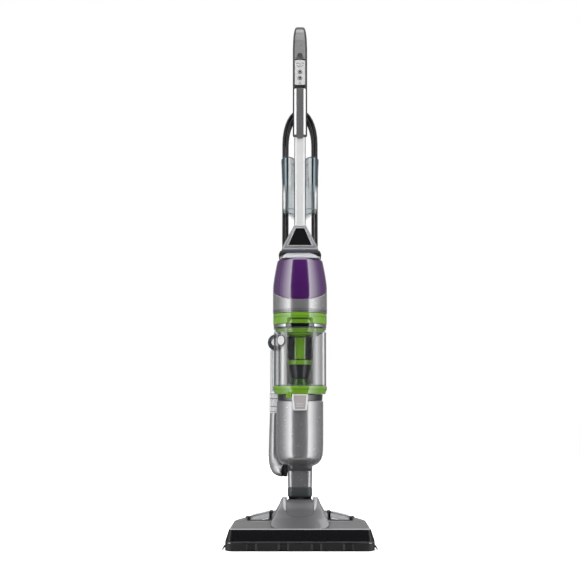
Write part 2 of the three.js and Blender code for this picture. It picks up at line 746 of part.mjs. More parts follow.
const pump = () =>
  join(box(-6, 28, 30, 54, 206, 256), barZ(9, 254, 270, 10, 42), barY(4.5, 50, 57, HOSE_X, HOSE_PORT_Z));

// Water runs from the tank dock down behind the motor, inside the spine, to the pump.
const HOSE_X = 24;
const HOSE_PORT_Z = 240;
const HOSE_R = 3;
const hosePort = (y0, y1) =>
  box(HOSE_X - 5, HOSE_X + 5, y0, y1, HOSE_PORT_Z - 6, HOSE_PORT_Z + 14);

function waterHose() {
  const spineY = BACK_Y + GAP + SPINE_DEPTH / 2;
  return pipe(
    [
      [0, TANK_AXIS_Y, DOCK_BOTTOM - GAP],
      [0, TANK_AXIS_Y, DOCK_BOTTOM - 8],
      [5, 28, 682],
      [14, 38, 667],
      [HOSE_X - 1, 50, 654],
      [HOSE_X, 54.5, 640],
      [HOSE_X, 55.5, 618],
      [HOSE_X, 58, 602],
      [HOSE_X, 65, 584],
      [HOSE_X, spineY, 562],
      [HOSE_X, spineY, 480],
      [HOSE_X, spineY, 380],
      [HOSE_X, spineY, 270],
      [HOSE_X, spineY - 1, 252],
      [HOSE_X, spineY - 5, HOSE_PORT_Z + 1],
      [HOSE_X, 61, HOSE_PORT_Z],
      [HOSE_X, 57.6, HOSE_PORT_Z],
    ],
    HOSE_R,
    6,
    44,
  );
}

function rearSpine() {
  const front = BACK_Y + GAP;
  const back = front + SPINE_DEPTH;
  const outer = prismZ(roundRect(-BACK_HALF, BACK_HALF, front, back, 5), SPINE_BOTTOM, SPINE_TOP, 3);
  const inner = box(-BACK_HALF + WALL, BACK_HALF - WALL, front + WALL, back - WALL, 0, BIG);
  const hoseNotch = box(HOSE_X - 5, HOSE_X + 5, 0, front + WALL + 1, SPINE_TOP - 34, BIG);
  const slots = Array.from({ length: 7 }, (_, i) => {
    const level = 506 + i * 10;
    return box(-24, 24, back - WALL - 1, back + 1, level, level + 4);
  });
  return cut(outer, inner, hosePort(0, front + WALL + 1), hoseNotch, ...slots);
}

// ---------------------------------------------------------------- suction duct
const DUCT_END_X = -NECK_HALF_WIDTH - 9.5;

// The duct's centre line, from the cuff down to the neck. Longer by run at both ends for a bore.
function ductLine(run) {
  return [
    [DUCT_X, DUCT_Y, CUFF_BOTTOM - GAP + run],
    [DUCT_X, DUCT_Y, 250],
    [DUCT_X, DUCT_Y, 216],
    [DUCT_X + 0.4, DUCT_Y - 2, 193],
    [DUCT_X + 3.2, DUCT_Y - 10, 174],
    [DUCT_X + 8.4, DUCT_Y - 22, 162],
    [DUCT_END_X, PIVOT_Y, NECK_PORT_Z],
    [DUCT_END_X + 9 + run, PIVOT_Y - 4, NECK_PORT_Z - 1],
  ];
}

function sideDuct() {
  const inside = pipe(ductLine(3), DUCT_BORE_R, 12, 16);
  const beyond = box(DUCT_END_X, BIG, -BIG, BIG, 0, BIG);
  return cut(pipe(ductLine(0), DUCT_R, 12, 16), inside, beyond);
}

function ductSeal() {
  const tube = (radius) => barX(radius, DUCT_END_X + GAP, -NECK_HALF_WIDTH + 6, PIVOT_Y, NECK_PORT_Z);
  const aroundNeck = prismZ(neckOutline(-0.56 - GAP), 0, BIG);
  return cut(tube(DUCT_R - 1), tube(DUCT_BORE_R - 1), aroundNeck);
}

const atDuct = (made) => made.translate([DUCT_X, DUCT_Y, 0]);

function riserCuff() {
  const profile = [
    [DUCT_BORE_R, CUFF_BOTTOM],
    [CUFF_R, CUFF_BOTTOM],
    [CUFF_R, CUFF_BOTTOM + 12],
    [CUFF_R - 1, CUFF_BOTTOM + 13.5],
    [CUFF_R, CUFF_BOTTOM + 15],
    [CUFF_R, CUFF_BOTTOM + 30],
    [CUFF_R - 1, CUFF_BOTTOM + 31.5],
    [CUFF_R, CUFF_BOTTOM + 33],
    [CUFF_R, CUFF_TOP],
    [DUCT_BORE_R, CUFF_TOP],
    [DUCT_BORE_R, CUFF_BOTTOM],
  ];
  return atDuct(turned(profile, SMALL_SIDES));
}

const SEAL_THICK = 3.5;
const besideCup = () => barZ(CUP_R + 1, 0, BIG, 0, 0, SIDES);

// The riser ends in an elbow, whose flange faces the cup's inlet port.
function riserTube() {
  const face = INLET_FACE_Y + SEAL_THICK + 2 * GAP;
  const shape = (radius, low, high, near) =>
    join(
      barZ(radius, low, high, DUCT_X, DUCT_Y),
      barY(radius, near, DUCT_Y, DUCT_X, high),
      solid(new THREE.SphereGeometry(radius, SMALL_SIDES, 8)).translate([DUCT_X, DUCT_Y, high]),
    );
  const flange = barY(INLET_FLANGE_R - 2, face, face + 2.5, DUCT_X, INLET_Z);
  const outer = join(shape(RISER_R, CUFF_TOP + GAP, INLET_Z, face), flange);
  return cut(outer, shape(RISER_R - 1.8, 0, INLET_Z, 0), besideCup());
}

function inletSeal() {
  const near = INLET_FACE_Y + GAP;
  const tube = (radius) => barY(radius, near, near + SEAL_THICK, DUCT_X, INLET_Z, SIDES);
  return cut(tube(INLET_FLANGE_R), tube(RISER_R - 1.8), besideCup());
}

// ---------------------------------------------------------------- dirt cup
// Heights inside the cup, from its bottom upwards.
const WALL_BOTTOM = DOOR_HEIGHT + GAP;
const WALL_TOP = WALL_BOTTOM + CUP_WALL_HEIGHT;
const GASKET_TOP = WALL_TOP + GAP + GASKET_HEIGHT;
const COLLAR_LOW = GASKET_TOP + GAP;
const COLLAR_TOP = COLLAR_LOW + CUP_COLLAR_HEIGHT;
const CONE_TOP = WALL_TOP - 21;
const RING_TOP = WALL_TOP - 71;
const RING_LOW = RING_TOP - 11;
const CONE_BOTTOM = WALL_BOTTOM + 16;

// The clear wall, with the port where the air comes in along its side.
function cupWall() {
  const port = INLET_Z - CUP_BOTTOM;
  const outer = join(
    barZ(CUP_R, WALL_BOTTOM, WALL_TOP, 0, 0, SIDES),
    barY(RISER_R, -14, INLET_FACE_Y, DUCT_X, port),
    barY(INLET_FLANGE_R, INLET_FACE_Y - 3, INLET_FACE_Y, DUCT_X, port, 32),
  );
  const inside = barZ(CUP_R - THIN_WALL, 0, BIG, 0, 0, SIDES);
  return cut(outer, inside, barY(RISER_R - 1.8, -11, BIG, DUCT_X, port));
}

function cupCollar() {
  const inner = CUP_COLLAR_R - WALL;
  const body = turned([
    [inner, COLLAR_LOW],
    [CUP_COLLAR_R, COLLAR_LOW],
    [CUP_COLLAR_R, COLLAR_TOP],
    [30, COLLAR_TOP],
    [30, COLLAR_TOP - WALL],
    [inner, COLLAR_TOP - WALL],
    [inner, COLLAR_LOW],
  ]);
  const recess = box(-25, 25, -BIG, -CUP_COLLAR_R + 6, 0, COLLAR_LOW + 12);
  const backing = box(-27, 27, -CUP_COLLAR_R + 6, -inner + 10, COLLAR_LOW, COLLAR_LOW + 14);
  const lining = common(backing, barZ(inner, 0, BIG, 0, 0, SIDES));
  return join(cut(body, recess), lining);
}

// A funnel plate that hangs the cyclone cone in the top of the cup.
function cycloneCap() {
  const edge = CUP_R - THIN_WALL - GAP;
  const top = WALL_TOP - GAP;
  return turned([
    [18, top - 4],
    [18, top],
    [edge, top],
    [edge, top - 7],
    [CONE_TOP_R + 3, CONE_TOP + GAP],
    [CONE_TOP_R - 3, CONE_TOP + GAP],
    [CONE_TOP_R - 3, top - 4],
    [18, top - 4],
  ]);
}

function cycloneCone() {
  const grooveR = CONE_TOP_R - 4;
  return turned(
    [
      [16, CONE_BOTTOM],
      [CONE_LOW_R, CONE_BOTTOM],
      [CONE_TOP_R - 2, RING_LOW],
      [grooveR, RING_LOW],
      [grooveR, RING_TOP],
      [CONE_TOP_R - 1, RING_TOP],
      [CONE_TOP_R, CONE_TOP],
      [18, CONE_TOP],
      [16, CONE_BOTTOM],
    ],
    32,
  );
}

const cycloneRing = () =>
  ring(CONE_TOP_R - 4 + GAP, CONE_TOP_R + 1.5, RING_LOW + GAP, RING_TOP - GAP, 32);

// The green door, with the stand that closes the cone and the tab that opens it.
function bottomDoor() {
  const plate = turned([
    [0, 0],
    [DOOR_R - 4, 0],
    [DOOR_R, 10],
    [DOOR_R, DOOR_HEIGHT],
    [DOOR_R - 6, DOOR_HEIGHT],
    [DOOR_R - 9, DOOR_HEIGHT - 7],
    [STAND_R + 2, DOOR_HEIGHT - 7],
    [STAND_R, DOOR_HEIGHT - 5],
    [CONE_LOW_R, CONE_BOTTOM - GAP],
    [0, CONE_BOTTOM - GAP],
  ]);
  const tab = box(-30, -18.4, -DOOR_R + 3.5, -DOOR_R + 7.5, -9, 4);
  return join(plate, tab);
}

function dirtCup() {
  const filter = turned([[0, COLLAR_LOW + 6], [53, COLLAR_LOW + 6], [53, COLLAR_TOP - 4], [0, COLLAR_TOP - 4]]);
  const clearOfLining = box(-28, 28, -BIG, -CUP_COLLAR_R + 14, 0, BIG);
  const cup = group(
    part("cup_wall", cupWall(), CLEAR),
    part("cup_collar", cupCollar(), GREEN),
    part("cup_gasket", ring(CUP_R - 5, CUP_R + 0.4, WALL_TOP + GAP, GASKET_TOP), BLACK),
    part("pre_motor_filter", cut(filter, clearOfLining), FOAM),
    part("cyclone_cap", cycloneCap(), GREEN),
    part("cyclone_cone", cycloneCone(), DARK_GREY),
    part("cyclone_ring", cycloneRing(), GREEN),
    part("bottom_door", bottomDoor(), GREEN),
  );
  cup.position.z = CUP_BOTTOM;
  return cup;
}

// ---------------------------------------------------------------- motor section
const MOTOR_BOTTOM = CUP_BOTTOM + COLLAR_TOP + GAP;
const HOOD_TOP_Z = MOTOR_BOTTOM + HOOD_HEIGHT;

function motorHousing() {
  const body = turned([
    [32, MOTOR_BOTTOM],
    [MOTOR_R, MOTOR_BOTTOM],
    [MOTOR_R, HOOD_KNEE_Z + 30],
    [MOTOR_R - WALL, HOOD_KNEE_Z + 30],
    [MOTOR_R - WALL, MOTOR_BOTTOM + WALL],
    [32, MOTOR_BOTTOM + WALL],
    [32, MOTOR_BOTTOM],
  ]);
  return cut(body, aboveSlope(SEAM_Z, SEAM_SLOPE));
}

// The hood's outer profile with its faces moved by inset.
function hoodProfile(inset) {
  const radius = MOTOR_R - inset;
  const top = HOOD_TOP_Z - inset;
  return [
    [0, MOTOR_BOTTOM],
    [radius, MOTOR_BOTTOM],
    [radius, HOOD_KNEE_Z],
    [HOOD_TOP_R + 0.5 - inset, top - 3],
    [HOOD_TOP_R - 2 - inset, top],
    [0, top],
  ];
}

function motorHood() {
  const shell = cut(turned(hoodProfile(0)), turned(hoodProfile(WALL)));
  const wires = barZ(11, 0, BIG, 0, 0);
  return cut(common(shell, aboveSlope(SEAM_Z + GAP, SEAM_SLOPE)), wires);
}

function suctionMotor() {
  const low = MOTOR_BOTTOM + 36;
  const profile = [
    [SHAFT_R + 1, low],
    [MOTOR_CAN_R, low],
    [MOTOR_CAN_R, low + 38],
    [26, low + 44],
    [26, low + 60],
    [SHAFT_R + 1, low + 60],
    [SHAFT_R + 1, low],
  ];
  return turned(profile, 32);
}

function motorRotor() {
  const low = MOTOR_BOTTOM + 16;
  const shaft = barZ(SHAFT_R, low - 6, low + 84, 0, 0);
  const plate = barZ(38, low, low + 3, 0, 0, 32);
  const blades = Array.from({ length: 6 }, (_, i) =>
    box(8, 36, -1.2, 1.2, low + 2, low + 12).rotate([0, 0, i * 60]),
  );
  return join(shaft, plate, ...blades);
}

// ---------------------------------------------------------------- shoulder, yoke and pole
const RING_LOW_Z = HOOD_TOP_Z + GAP;
const SHOULDER_TOP_Z = RING_LOW_Z + RING_HEIGHT + GAP + 6;

const trimRing = () =>
  turned([
    [12, RING_LOW_Z],
    [RING_R, RING_LOW_Z],
    [RING_R - 3, RING_LOW_Z + RING_HEIGHT],
    [12, RING_LOW_Z + RING_HEIGHT],
    [12, RING_LOW_Z],
  ]);

// The lower cord hook is moulded on the back of the shoulder.
function lowerHook() {
  const back = WIND_FRONT + WIND_DEPTH + 1;
  const reach = WIND_HALF - WIND_WIDTH - 0.8;
  const saddle = new THREE.Shape();
  const half = THREE.MathUtils.degToRad(36);
  saddle.absarc(0, WIND_LOW_Z, reach, -Math.PI / 2 - half, -Math.PI / 2 + half);
  saddle.lineTo(reach * Math.sin(half), SHOULDER_TOP_Z - 4);
  saddle.lineTo(-reach * Math.sin(half), SHOULDER_TOP_Z - 4);
  const post = prismY(saddle, 30, back + HOOK_LIP);
  const lip = prismY(roundRect(-14, 14, WIND_LOW_Z - WIND_HALF + 2, SHOULDER_TOP_Z - 6, 6), back, back + HOOK_LIP);
  const awayFromHood = turned(hoodProfile(-GAP));
  return cut(join(post, lip), awayFromHood);
}

function shoulderCap() {
  const low = SHOULDER_TOP_Z - SHOULDER_HEIGHT;
  const share = SHOULDER_TOP_HALF / SHOULDER_HALF;
  const outline = roundRect(-SHOULDER_HALF, SHOULDER_HALF, -45, 44, 20);
  const outer = tapered(outline, [[low, 1, 1], [low + 3, 1, 1], [SHOULDER_TOP_Z, share, 0.94]]);
  const inner = barZ(RING_R + 0.8, 0, RING_LOW_Z + RING_HEIGHT + GAP, 0, 0, SIDES);
  const window = box(-38, 38, -BIG, 0, 0, RING_LOW_Z + RING_HEIGHT + GAP);
  const wires = barZ(8, 0, BIG, 0, -8);
  const hoodTop = turned(hoodProfile(-GAP));
  return cut(join(outer, lowerHook()), inner, window, wires, hoodTop);
}

// A hollow pyramid round the foot of the pole, with a window for the badge.
const YOKE_LOW = SHOULDER_TOP_Z + GAP;
const YOKE_TOP = YOKE_LOW + YOKE_HEIGHT;
const BADGE_LOW = YOKE_LOW + 12;
const BADGE_TOP = YOKE_LOW + 50.5;

function yokeForm(inset) {
  const width = (share) => SHOULDER_TOP_HALF * share - inset;
  const slope = polygon([
    [-42 + inset, YOKE_LOW - 1],
    [-29 + inset, YOKE_TOP + 1],
    [6 - inset, YOKE_TOP + 1],
    [12 - inset, YOKE_LOW - 1],
  ]);
  const face = polygon([
    [-width(0.99), YOKE_LOW - 1],
    [width(0.99), YOKE_LOW - 1],
    [width(0.97), YOKE_LOW + 6],
    [POLE_HALF + 1.3 - inset, YOKE_TOP],
    [-POLE_HALF - 1.3 + inset, YOKE_TOP],
    [-width(0.97), YOKE_LOW + 6],
  ]);
  const band = box(-BIG, BIG, -BIG, BIG, YOKE_LOW - (inset > 0 ? 2 : 0), YOKE_TOP);
  return common(prismX(slope, -BIG, BIG), prismY(face, -BIG, BIG), band);
}

function badgeOutline(play) {
  return polygon([
    [-25.5 - play, BADGE_LOW - play],
    [25.5 + play, BADGE_LOW - play],
    [9.6 + play, BADGE_TOP + play],
    [-9.6 - play, BADGE_TOP + play],
  ]);
}

function poleForm(inset, z0, z1) {
  const outline = roundRect(
    -POLE_HALF + inset,
    POLE_HALF - inset,
    POLE_FRONT + inset,
    POLE_BACK - inset,
    POLE_CORNER - inset,
  );
  return prismZ(outline, z0, z1, 4);
}

function yokeCover() {
  const window = prismY(badgeOutline(GAP), -BIG, -20);
  const poleHole = poleForm(-GAP, YOKE_LOW, BIG);
  return cut(yokeForm(0), yokeForm(WALL), window, poleHole);
}

function badgePlate() {
  const thick = cut(yokeForm(0.8), yokeForm(2.4));
  const insert = common(thick, prismY(badgeOutline(0), -BIG, -20));
  return cut(insert, poleForm(-GAP, 0, BIG));
}

const POLE_LOW = YOKE_LOW;
const pole = () =>
  cut(
    poleForm(0, POLE_LOW, SLEEVE_BOTTOM + POLE_INSERT),
    poleForm(POLE_WALL, POLE_LOW - 1, SLEEVE_BOTTOM + POLE_INSERT + 1),
  );

// ---------------------------------------------------------------- water tank
const TANK_BOTTOM = DOCK_BOTTOM + DOCK_HEIGHT + GAP;

// A bracket on the back of the pole, with a socket for the tank's cap.
function tankDock() {
  const high = DOCK_BOTTOM + DOCK_HEIGHT;
  const arm = box(-DOCK_R, DOCK_R, POLE_BACK + GAP, TANK_AXIS_Y, DOCK_BOTTOM, high);
  const cup = barZ(DOCK_R, DOCK_BOTTOM, high, 0, TANK_AXIS_Y);
  const socket = barZ(CAP_R + GAP, high - 13, BIG, 0, TANK_AXIS_Y);
  const outlet = barZ(2, 0, BIG, 0, TANK_AXIS_Y);
  return cut(join(arm, cup), socket, outlet);
}

// The tank's form: two lobes beside the pole joined behind it, drawn in towards the bottom.
function tankForm(inset) {
  const half = TANK_TOP_HALF - inset;
  const lobeR = TANK_LOBE_R - inset;
  const lobeX = TANK_TOP_HALF - TANK_LOBE_R;
  const lobeY = 5;
  const back = roundRect(-half, half, POLE_BACK + 3 + inset, TANK_BACK - inset, 14 - inset);
  const top = TANK_BOTTOM + TANK_HEIGHT - inset;
  const widths = [
    [TANK_BOTTOM + inset, TANK_BOTTOM_SHARE, 0.96],
    [TANK_BOTTOM + TANK_FLOOR_RISE + inset, TANK_BOTTOM_SHARE + 0.01, 0.97],
    [top, 1, 1],
  ];
  const lobes = [disc(lobeR, -lobeX, lobeY), disc(lobeR, lobeX, lobeY)];
  const pieces = [back, ...lobes].map((outline) => tapered(outline, widths, TANK_AXIS_Y, 4));
  const play = POLE_HALF + 1.2 + inset;
  const groove = box(-play, play, -BIG, POLE_BACK + 3 + inset, 0, BIG);
  const floorCut = [-1, 1].map((side) => {
    const low = TANK_BOTTOM + inset;
    const wedge = polygon([
      [side * 13, low],
      [side * BIG, low + TANK_FLOOR_RISE * (BIG / 26)],
      [side * BIG, low - BIG],
      [side * 13, low - BIG],
    ]);
    return prismY(wedge, -BIG, BIG);
  });
  return cut(join(...pieces), groove, ...floorCut);
}

function waterTank() {
  const spout = barZ(CAP_R - 3, 0, TANK_BOTTOM + 8, 0, TANK_AXIS_Y);
  const rim = cut(common(tankForm(-1.2), box(-BIG, BIG, -BIG, BIG, TANK_BOTTOM + TANK_HEIGHT - 7, BIG)), tankForm(1));
  const topTrimmed = cut(rim, box(-BIG, BIG, -BIG, BIG, TANK_BOTTOM + TANK_HEIGHT - 1, BIG));
  return cut(join(cut(tankForm(0), tankForm(THIN_WALL)), topTrimmed), spout);
}

const tankCap = () =>
  join(
    barZ(CAP_R, TANK_BOTTOM - 12, TANK_BOTTOM - GAP, 0, TANK_AXIS_Y),
    barZ(CAP_R - 3 - GAP, TANK_BOTTOM - 1, TANK_BOTTOM + 5, 0, TANK_AXIS_Y),
  );

// ---------------------------------------------------------------- handle
const SLEEVE_TOP = SLEEVE_BOTTOM + SLEEVE_HEIGHT;
const HANDLE_LOW = SLEEVE_TOP + GAP;
const HANDLE_TOP = SLEEVE_TOP + GRIP_HEIGHT;

function handleSleeve() {
  const middle = (SLEEVE_FRONT + SLEEVE_BACK) / 2;
  const outline = roundRect(-SLEEVE_HALF, SLEEVE_HALF, SLEEVE_FRONT, SLEEVE_BACK, 6);
  const widths = [[SLEEVE_BOTTOM, 0.96, 0.96], [SLEEVE_BOTTOM + 5, 1, 1], [SLEEVE_TOP, 1, 1]];
  const outer = tapered(outline, widths, middle, 4);
  const socket = poleForm(-GAP, 0, SLEEVE_BOTTOM + POLE_INSERT + GAP);
  const wires = barZ(6, 0, BIG, 0, -12);
  const spindle = barY(SPINDLE_R + RUNNING, -4.5, BIG, 0, HOOK_Z);
  return cut(outer, socket, wires, spindle);
}

// The loop seen from the side: a front limb for the panel and a grip behind the fingers.
function loopForm() {
  const z = (up) => SLEEVE_TOP + up;
  const outer = new THREE.Shape();
  outer.moveTo(SLEEVE_FRONT, HANDLE_LOW);
  outer.lineTo(SLEEVE_FRONT, z(112));
  outer.bezierCurveTo(SLEEVE_FRONT + 1, z(138), SLEEVE_FRONT + 14, z(150), 6, z(150));
  outer.bezierCurveTo(38, z(150), 58, z(128), 62, z(98));
  outer.bezierCurveTo(66, z(70), 44, z(24), 26, z(12));
  outer.bezierCurveTo(18, z(6), 12, z(4), SLEEVE_BACK, HANDLE_LOW);
  const gap = new THREE.Shape();
  gap.moveTo(-3, z(40));
  gap.lineTo(-3, z(108));
  gap.bezierCurveTo(-2, z(124), 6, z(128), 14, z(127));
  gap.bezierCurveTo(28, z(125), 37, z(112), 38.5, z(96));
  gap.bezierCurveTo(40, z(76), 26, z(44), 16, z(34));
  gap.bezierCurveTo(8, z(27), -3, z(28), -3, z(40));
  const half = SLEEVE_HALF;
  return cut(prismX(outer, -half, half, 8), prismX(gap, -BIG, BIG, 8));
}

// The handle's outline from the front, narrowing to a flat top.
function frontOutline(inset) {
  const half = SLEEVE_HALF - inset;
  return polygon([
    [-half, 0],
    [-half, HANDLE_TOP - 45],
    [-half + 2.7, HANDLE_TOP - 17.5],
    [-half + 4.4, HANDLE_TOP - 7.5 - inset],
    [-half + 7.6, HANDLE_TOP - inset],
    [half - 7.6, HANDLE_TOP - inset],
    [half - 4.4, HANDLE_TOP - 7.5 - inset],
    [half - 2.7, HANDLE_TOP - 17.5],
    [half, HANDLE_TOP - 45],
    [half, 0],
  ]);
}

// The pocket in the front limb that holds the panel and the cover, in front of plane y.
function frontPocket(play, y) {
  const inset = SLEEVE_HALF - PANEL_HALF - play;
  const low = SLEEVE_TOP + PANEL_BASE - play;
  return common(prismY(frontOutline(inset), -BIG, y), box(-BIG, BIG, -BIG, BIG, low, BIG));
}

function handleGrip() {
  const body = common(loopForm(), prismY(frontOutline(0), -BIG, BIG));
  const skin = SLEEVE_FRONT + COVER_THICK;
  const pocket = frontPocket(GAP, skin + GAP);
  const room = box(-9, 9, skin - 1, skin + 7, SLEEVE_TOP + 14, SLEEVE_TOP + 48);
  return cut(body, pocket, room);
}

// What lies in the pocket, flush with the loop's front.
function frontSkin() {
  return common(frontPocket(0, SLEEVE_FRONT + COVER_THICK), loopForm());
}

const buttonHole = (up) => barY(BUTTON_R + RUNNING, -BIG, 0, 0, SLEEVE_TOP + up);

function handleFront() {
  const split = SLEEVE_TOP + PANEL_BASE + PANEL_HEIGHT;
  const below = box(-BIG, BIG, -BIG, BIG, 0, split - GAP);
  const above = box(-BIG, BIG, -BIG, BIG, split, BIG);
  const panel = cut(
    common(frontSkin(), below),
    buttonHole(VACUUM_BUTTON_UP),
    buttonHole(STEAM_BUTTON_UP),
  );
  return [
    part("control_panel", panel, SILVER),
    part("handle_cover", common(frontSkin(), above), GREY),
  ];
}

// A button stands a little proud and has room behind it to travel.
function button(name, up) {
  const face = SLEEVE_FRONT - BUTTON_TRAVEL;
  const back = SLEEVE_FRONT + COVER_THICK + GAP;
  const cap = barY(BUTTON_R, face, back, 0, SLEEVE_TOP + up);
  const flange = barY(BUTTON_R + 1.4, back, back + 1.6, 0, SLEEVE_TOP + up);
  return part(name, join(cap, flange), GREY);
}

// ---------------------------------------------------------------- cord, hooks and plug
const HOOK_R = 11;
const SPINDLE_R = 6;
const WIND_TOP_INNER = WIND_HIGH_Z + WIND_TOP_RISE - 18;
const HOOK_Z = WIND_TOP_INNER - HOOK_R - 0.6;

// The winding seen from the front: a long loop with a pointed top and a round bottom.
function windingOutline() {
  const outline = (path, half, rise) => {
    path.moveTo(half, WIND_LOW_Z);
    path.lineTo(half, WIND_HIGH_Z);
    path.absellipse(0, WIND_HIGH_Z, half, rise, 0, Math.PI);
    path.lineTo(-half, WIND_LOW_Z);
    path.absarc(0, WIND_LOW_Z, half, Math.PI, 2 * Math.PI);
    return path;
  };
  const shape = outline(new THREE.Shape(), WIND_HALF, WIND_TOP_RISE);
  shape.holes.push(outline(new THREE.Path(), WIND_HALF - WIND_WIDTH, WIND_TOP_RISE - 18));
  return shape;
}

// A round boss in the top of the winding and a lip behind it. Turned over, it lets the cord go.
function upperHook() {
  const back = WIND_FRONT + WIND_DEPTH + 1;
  const lip = prismY(roundRect(-12, 12, HOOK_Z - 14, HOOK_Z + 36, 8), back, back + HOOK_LIP);
  const boss = barY(HOOK_R, SLEEVE_BACK + 2, back + 1, 0, HOOK_Z);
  const spindle = barY(SPINDLE_R, -4, SLEEVE_BACK + 3, 0, HOOK_Z);
  return join(lip, boss, spindle);
}

const RELIEF_X = -31;
const RELIEF_Y = 37;

function strainRelief() {
  const low = SHOULDER_TOP_Z + GAP;
  const body = turned(
    [
      [0, low],
      [7, low],
      [7, low + 4],
      [CORD_R + 2, low + 6],
      [CORD_R + 0.8, low + RELIEF_HEIGHT],
      [0, low + RELIEF_HEIGHT],
    ],
    SMALL_SIDES,
  );
  return body.translate([RELIEF_X, RELIEF_Y, 0]);
}

function cordLead() {
  const low = SHOULDER_TOP_Z + GAP + RELIEF_HEIGHT + GAP;
  const side = WIND_FRONT - CORD_R - GAP;
  return pipe(
    [
      [RELIEF_X, RELIEF_Y, low],
      [RELIEF_X - 0.3, RELIEF_Y + 1.5, low + 16],
      [RELIEF_X - 1.2, RELIEF_Y + 7, low + 34],
      [RELIEF_X - 2, RELIEF_Y + 14, low + 51],
      [RELIEF_X - 2.4, side - 1, low + 66],
      [RELIEF_X - 2.5, side, low + 80],
    ],
    CORD_R,
    10,
    12,
  );
}

// The plug lies against the back of the winding, blades down.
function plug() {
  const back = WIND_FRONT + WIND_DEPTH + GAP;
  const x = WIND_HALF - WIND_WIDTH / 2;
  const z = WIND_HIGH_Z - 95;
  const body = new THREE.Shape();
  body.moveTo(x - 12, z);
  body.lineTo(x + 12, z);
  body.lineTo(x + 12, z + 18);
  body.quadraticCurveTo(x + 11, z + 30, x + 6, z + 33);
  body.lineTo(x + 4.6, z + 62);
  body.lineTo(x - 4.6, z + 62);
  body.lineTo(x - 6, z + 33);
  body.quadraticCurveTo(x - 11, z + 30, x - 12, z + 18);
  const blades = [-6.35, 6.35].map((offset) =>
    box(x + offset - 0.8, x + offset + 0.8, back + 4, back + 10.4, z - 17.5, z + 1),
  );
  return join(prismY(body, back, back + 14.5), ...blades);
}

// ---------------------------------------------------------------- the whole machine
function upright() {
  return group(
    part("swivel_collar", swivelCollar(), DARK_GREY),
    part("neck", neck(), GREY),
    ...lowerShells(),
    part("boiler", boiler(), STEEL),
    part("pump", pump(), DARK_GREY),
    part("water_hose", waterHose(), CLEAR),
    part("deck", deck(), BLACK),
    part("cup_latch", cupLatch(), SILVER),
    part("rear_spine", rearSpine(), GREY),
    part("duct_seal", ductSeal(), RUBBER),
    part("side_duct", sideDuct(), GREY),
    part("riser_cuff", riserCuff(), CLEAR),
    part("riser_tube", riserTube(), CLEAR),
    part("inlet_seal", inletSeal(), RUBBER),
  );
}

function motorSection() {
  return group(
    part("motor_housing", motorHousing(), GREY),
    part("motor_hood", motorHood(), PURPLE),
    part("suction_motor", suctionMotor(), STEEL),
    part("motor_rotor", motorRotor(), STEEL),
    part("trim_ring", trimRing(), SILVER),
    part("shoulder_cap", shoulderCap(), BLACK),
  );
}

function upperPart() {
  return group(
    part("yoke_cover", yokeCover(), GREY),
    part("badge_plate", badgePlate(), GLOSS_BLACK),
    part("pole", pole(), SILVER),
    part("tank_dock", tankDock(), DARK_GREY),
    part("water_tank", waterTank(), TEAL),
    part("tank_cap", tankCap(), DARK_GREY),
    part("handle_sleeve", handleSleeve(), GREY),
    part("handle_grip", handleGrip(), RUBBER),
    ...handleFront(),
    button("vacuum_button", VACUUM_BUTTON_UP),
    button("steam_button", STEAM_BUTTON_UP),
  );
}

function cordSet() {
  const y = WIND_FRONT;
  return group(
    part("upper_cord_hook", upperHook(), BLACK),
    part("cord_strain_relief", strainRelief(), RUBBER),
    part("cord_lead", cordLead(), RUBBER),
    part("cord_winding", prismY(windingOutline(), y, y + WIND_DEPTH, 14), RUBBER),
    part("plug", plug(), RUBBER),
  );
}

const pivot = group(part("pivot_barrel", pivotBarrel(), DARK_GREY));

export default group(foot(), pivot, upright(), dirtCup(), motorSection(), upperPart(), cordSet());
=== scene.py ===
"""The looks of the upright vacuum and steam cleaner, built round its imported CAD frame. Shapes are
given in millimetres; the front faces -Y and the suction duct is on the -X side."""

from math import acos, atan2, copysign, cos, hypot, pi, radians, sin, sqrt, tan

import bmesh
import bpy
from mathutils import Matrix, Vector


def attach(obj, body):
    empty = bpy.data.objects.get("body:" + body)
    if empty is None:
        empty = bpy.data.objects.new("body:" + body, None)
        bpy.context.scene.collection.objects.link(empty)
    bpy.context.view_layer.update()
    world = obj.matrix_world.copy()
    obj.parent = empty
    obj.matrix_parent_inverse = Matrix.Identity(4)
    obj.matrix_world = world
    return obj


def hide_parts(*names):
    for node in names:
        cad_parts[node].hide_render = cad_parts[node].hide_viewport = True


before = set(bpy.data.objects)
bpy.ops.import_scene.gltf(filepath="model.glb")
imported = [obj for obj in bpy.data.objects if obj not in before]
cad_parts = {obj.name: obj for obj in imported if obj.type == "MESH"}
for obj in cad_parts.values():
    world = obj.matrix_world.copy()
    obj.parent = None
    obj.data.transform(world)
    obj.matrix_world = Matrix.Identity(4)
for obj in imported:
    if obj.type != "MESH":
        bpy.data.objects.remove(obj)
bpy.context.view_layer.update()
MM = 0.001
SIDES = ((-1, "left"), (1, "right"))
TO_BACK = ("X", -pi / 2)  # turns an upright piece to face +Y
PIVOT = (0, 34)  # where the neck stands on the foot
RISER = (-54, 58)  # axis of the suction riser
scene = bpy.context.scene

# ---------------------------------------------------------------- camera
CAMERA_DISTANCE = 2.3
CAMERA_HEIGHT = 0.3
CAMERA_PITCH = radians(6.44)
camera_data = bpy.data.cameras.new("camera")
camera_data.lens = 64.03
camera_data.sensor_width = 36
camera_data.shift_x = -0.0172
camera = bpy.data.objects.new("camera", camera_data)
camera.location = (0, -CAMERA_DISTANCE, CAMERA_HEIGHT)
camera.rotation_euler = (pi / 2 + CAMERA_PITCH, 0, 0)
scene.collection.objects.link(camera)
scene.camera = camera
scene.view_settings.view_transform = "Standard"


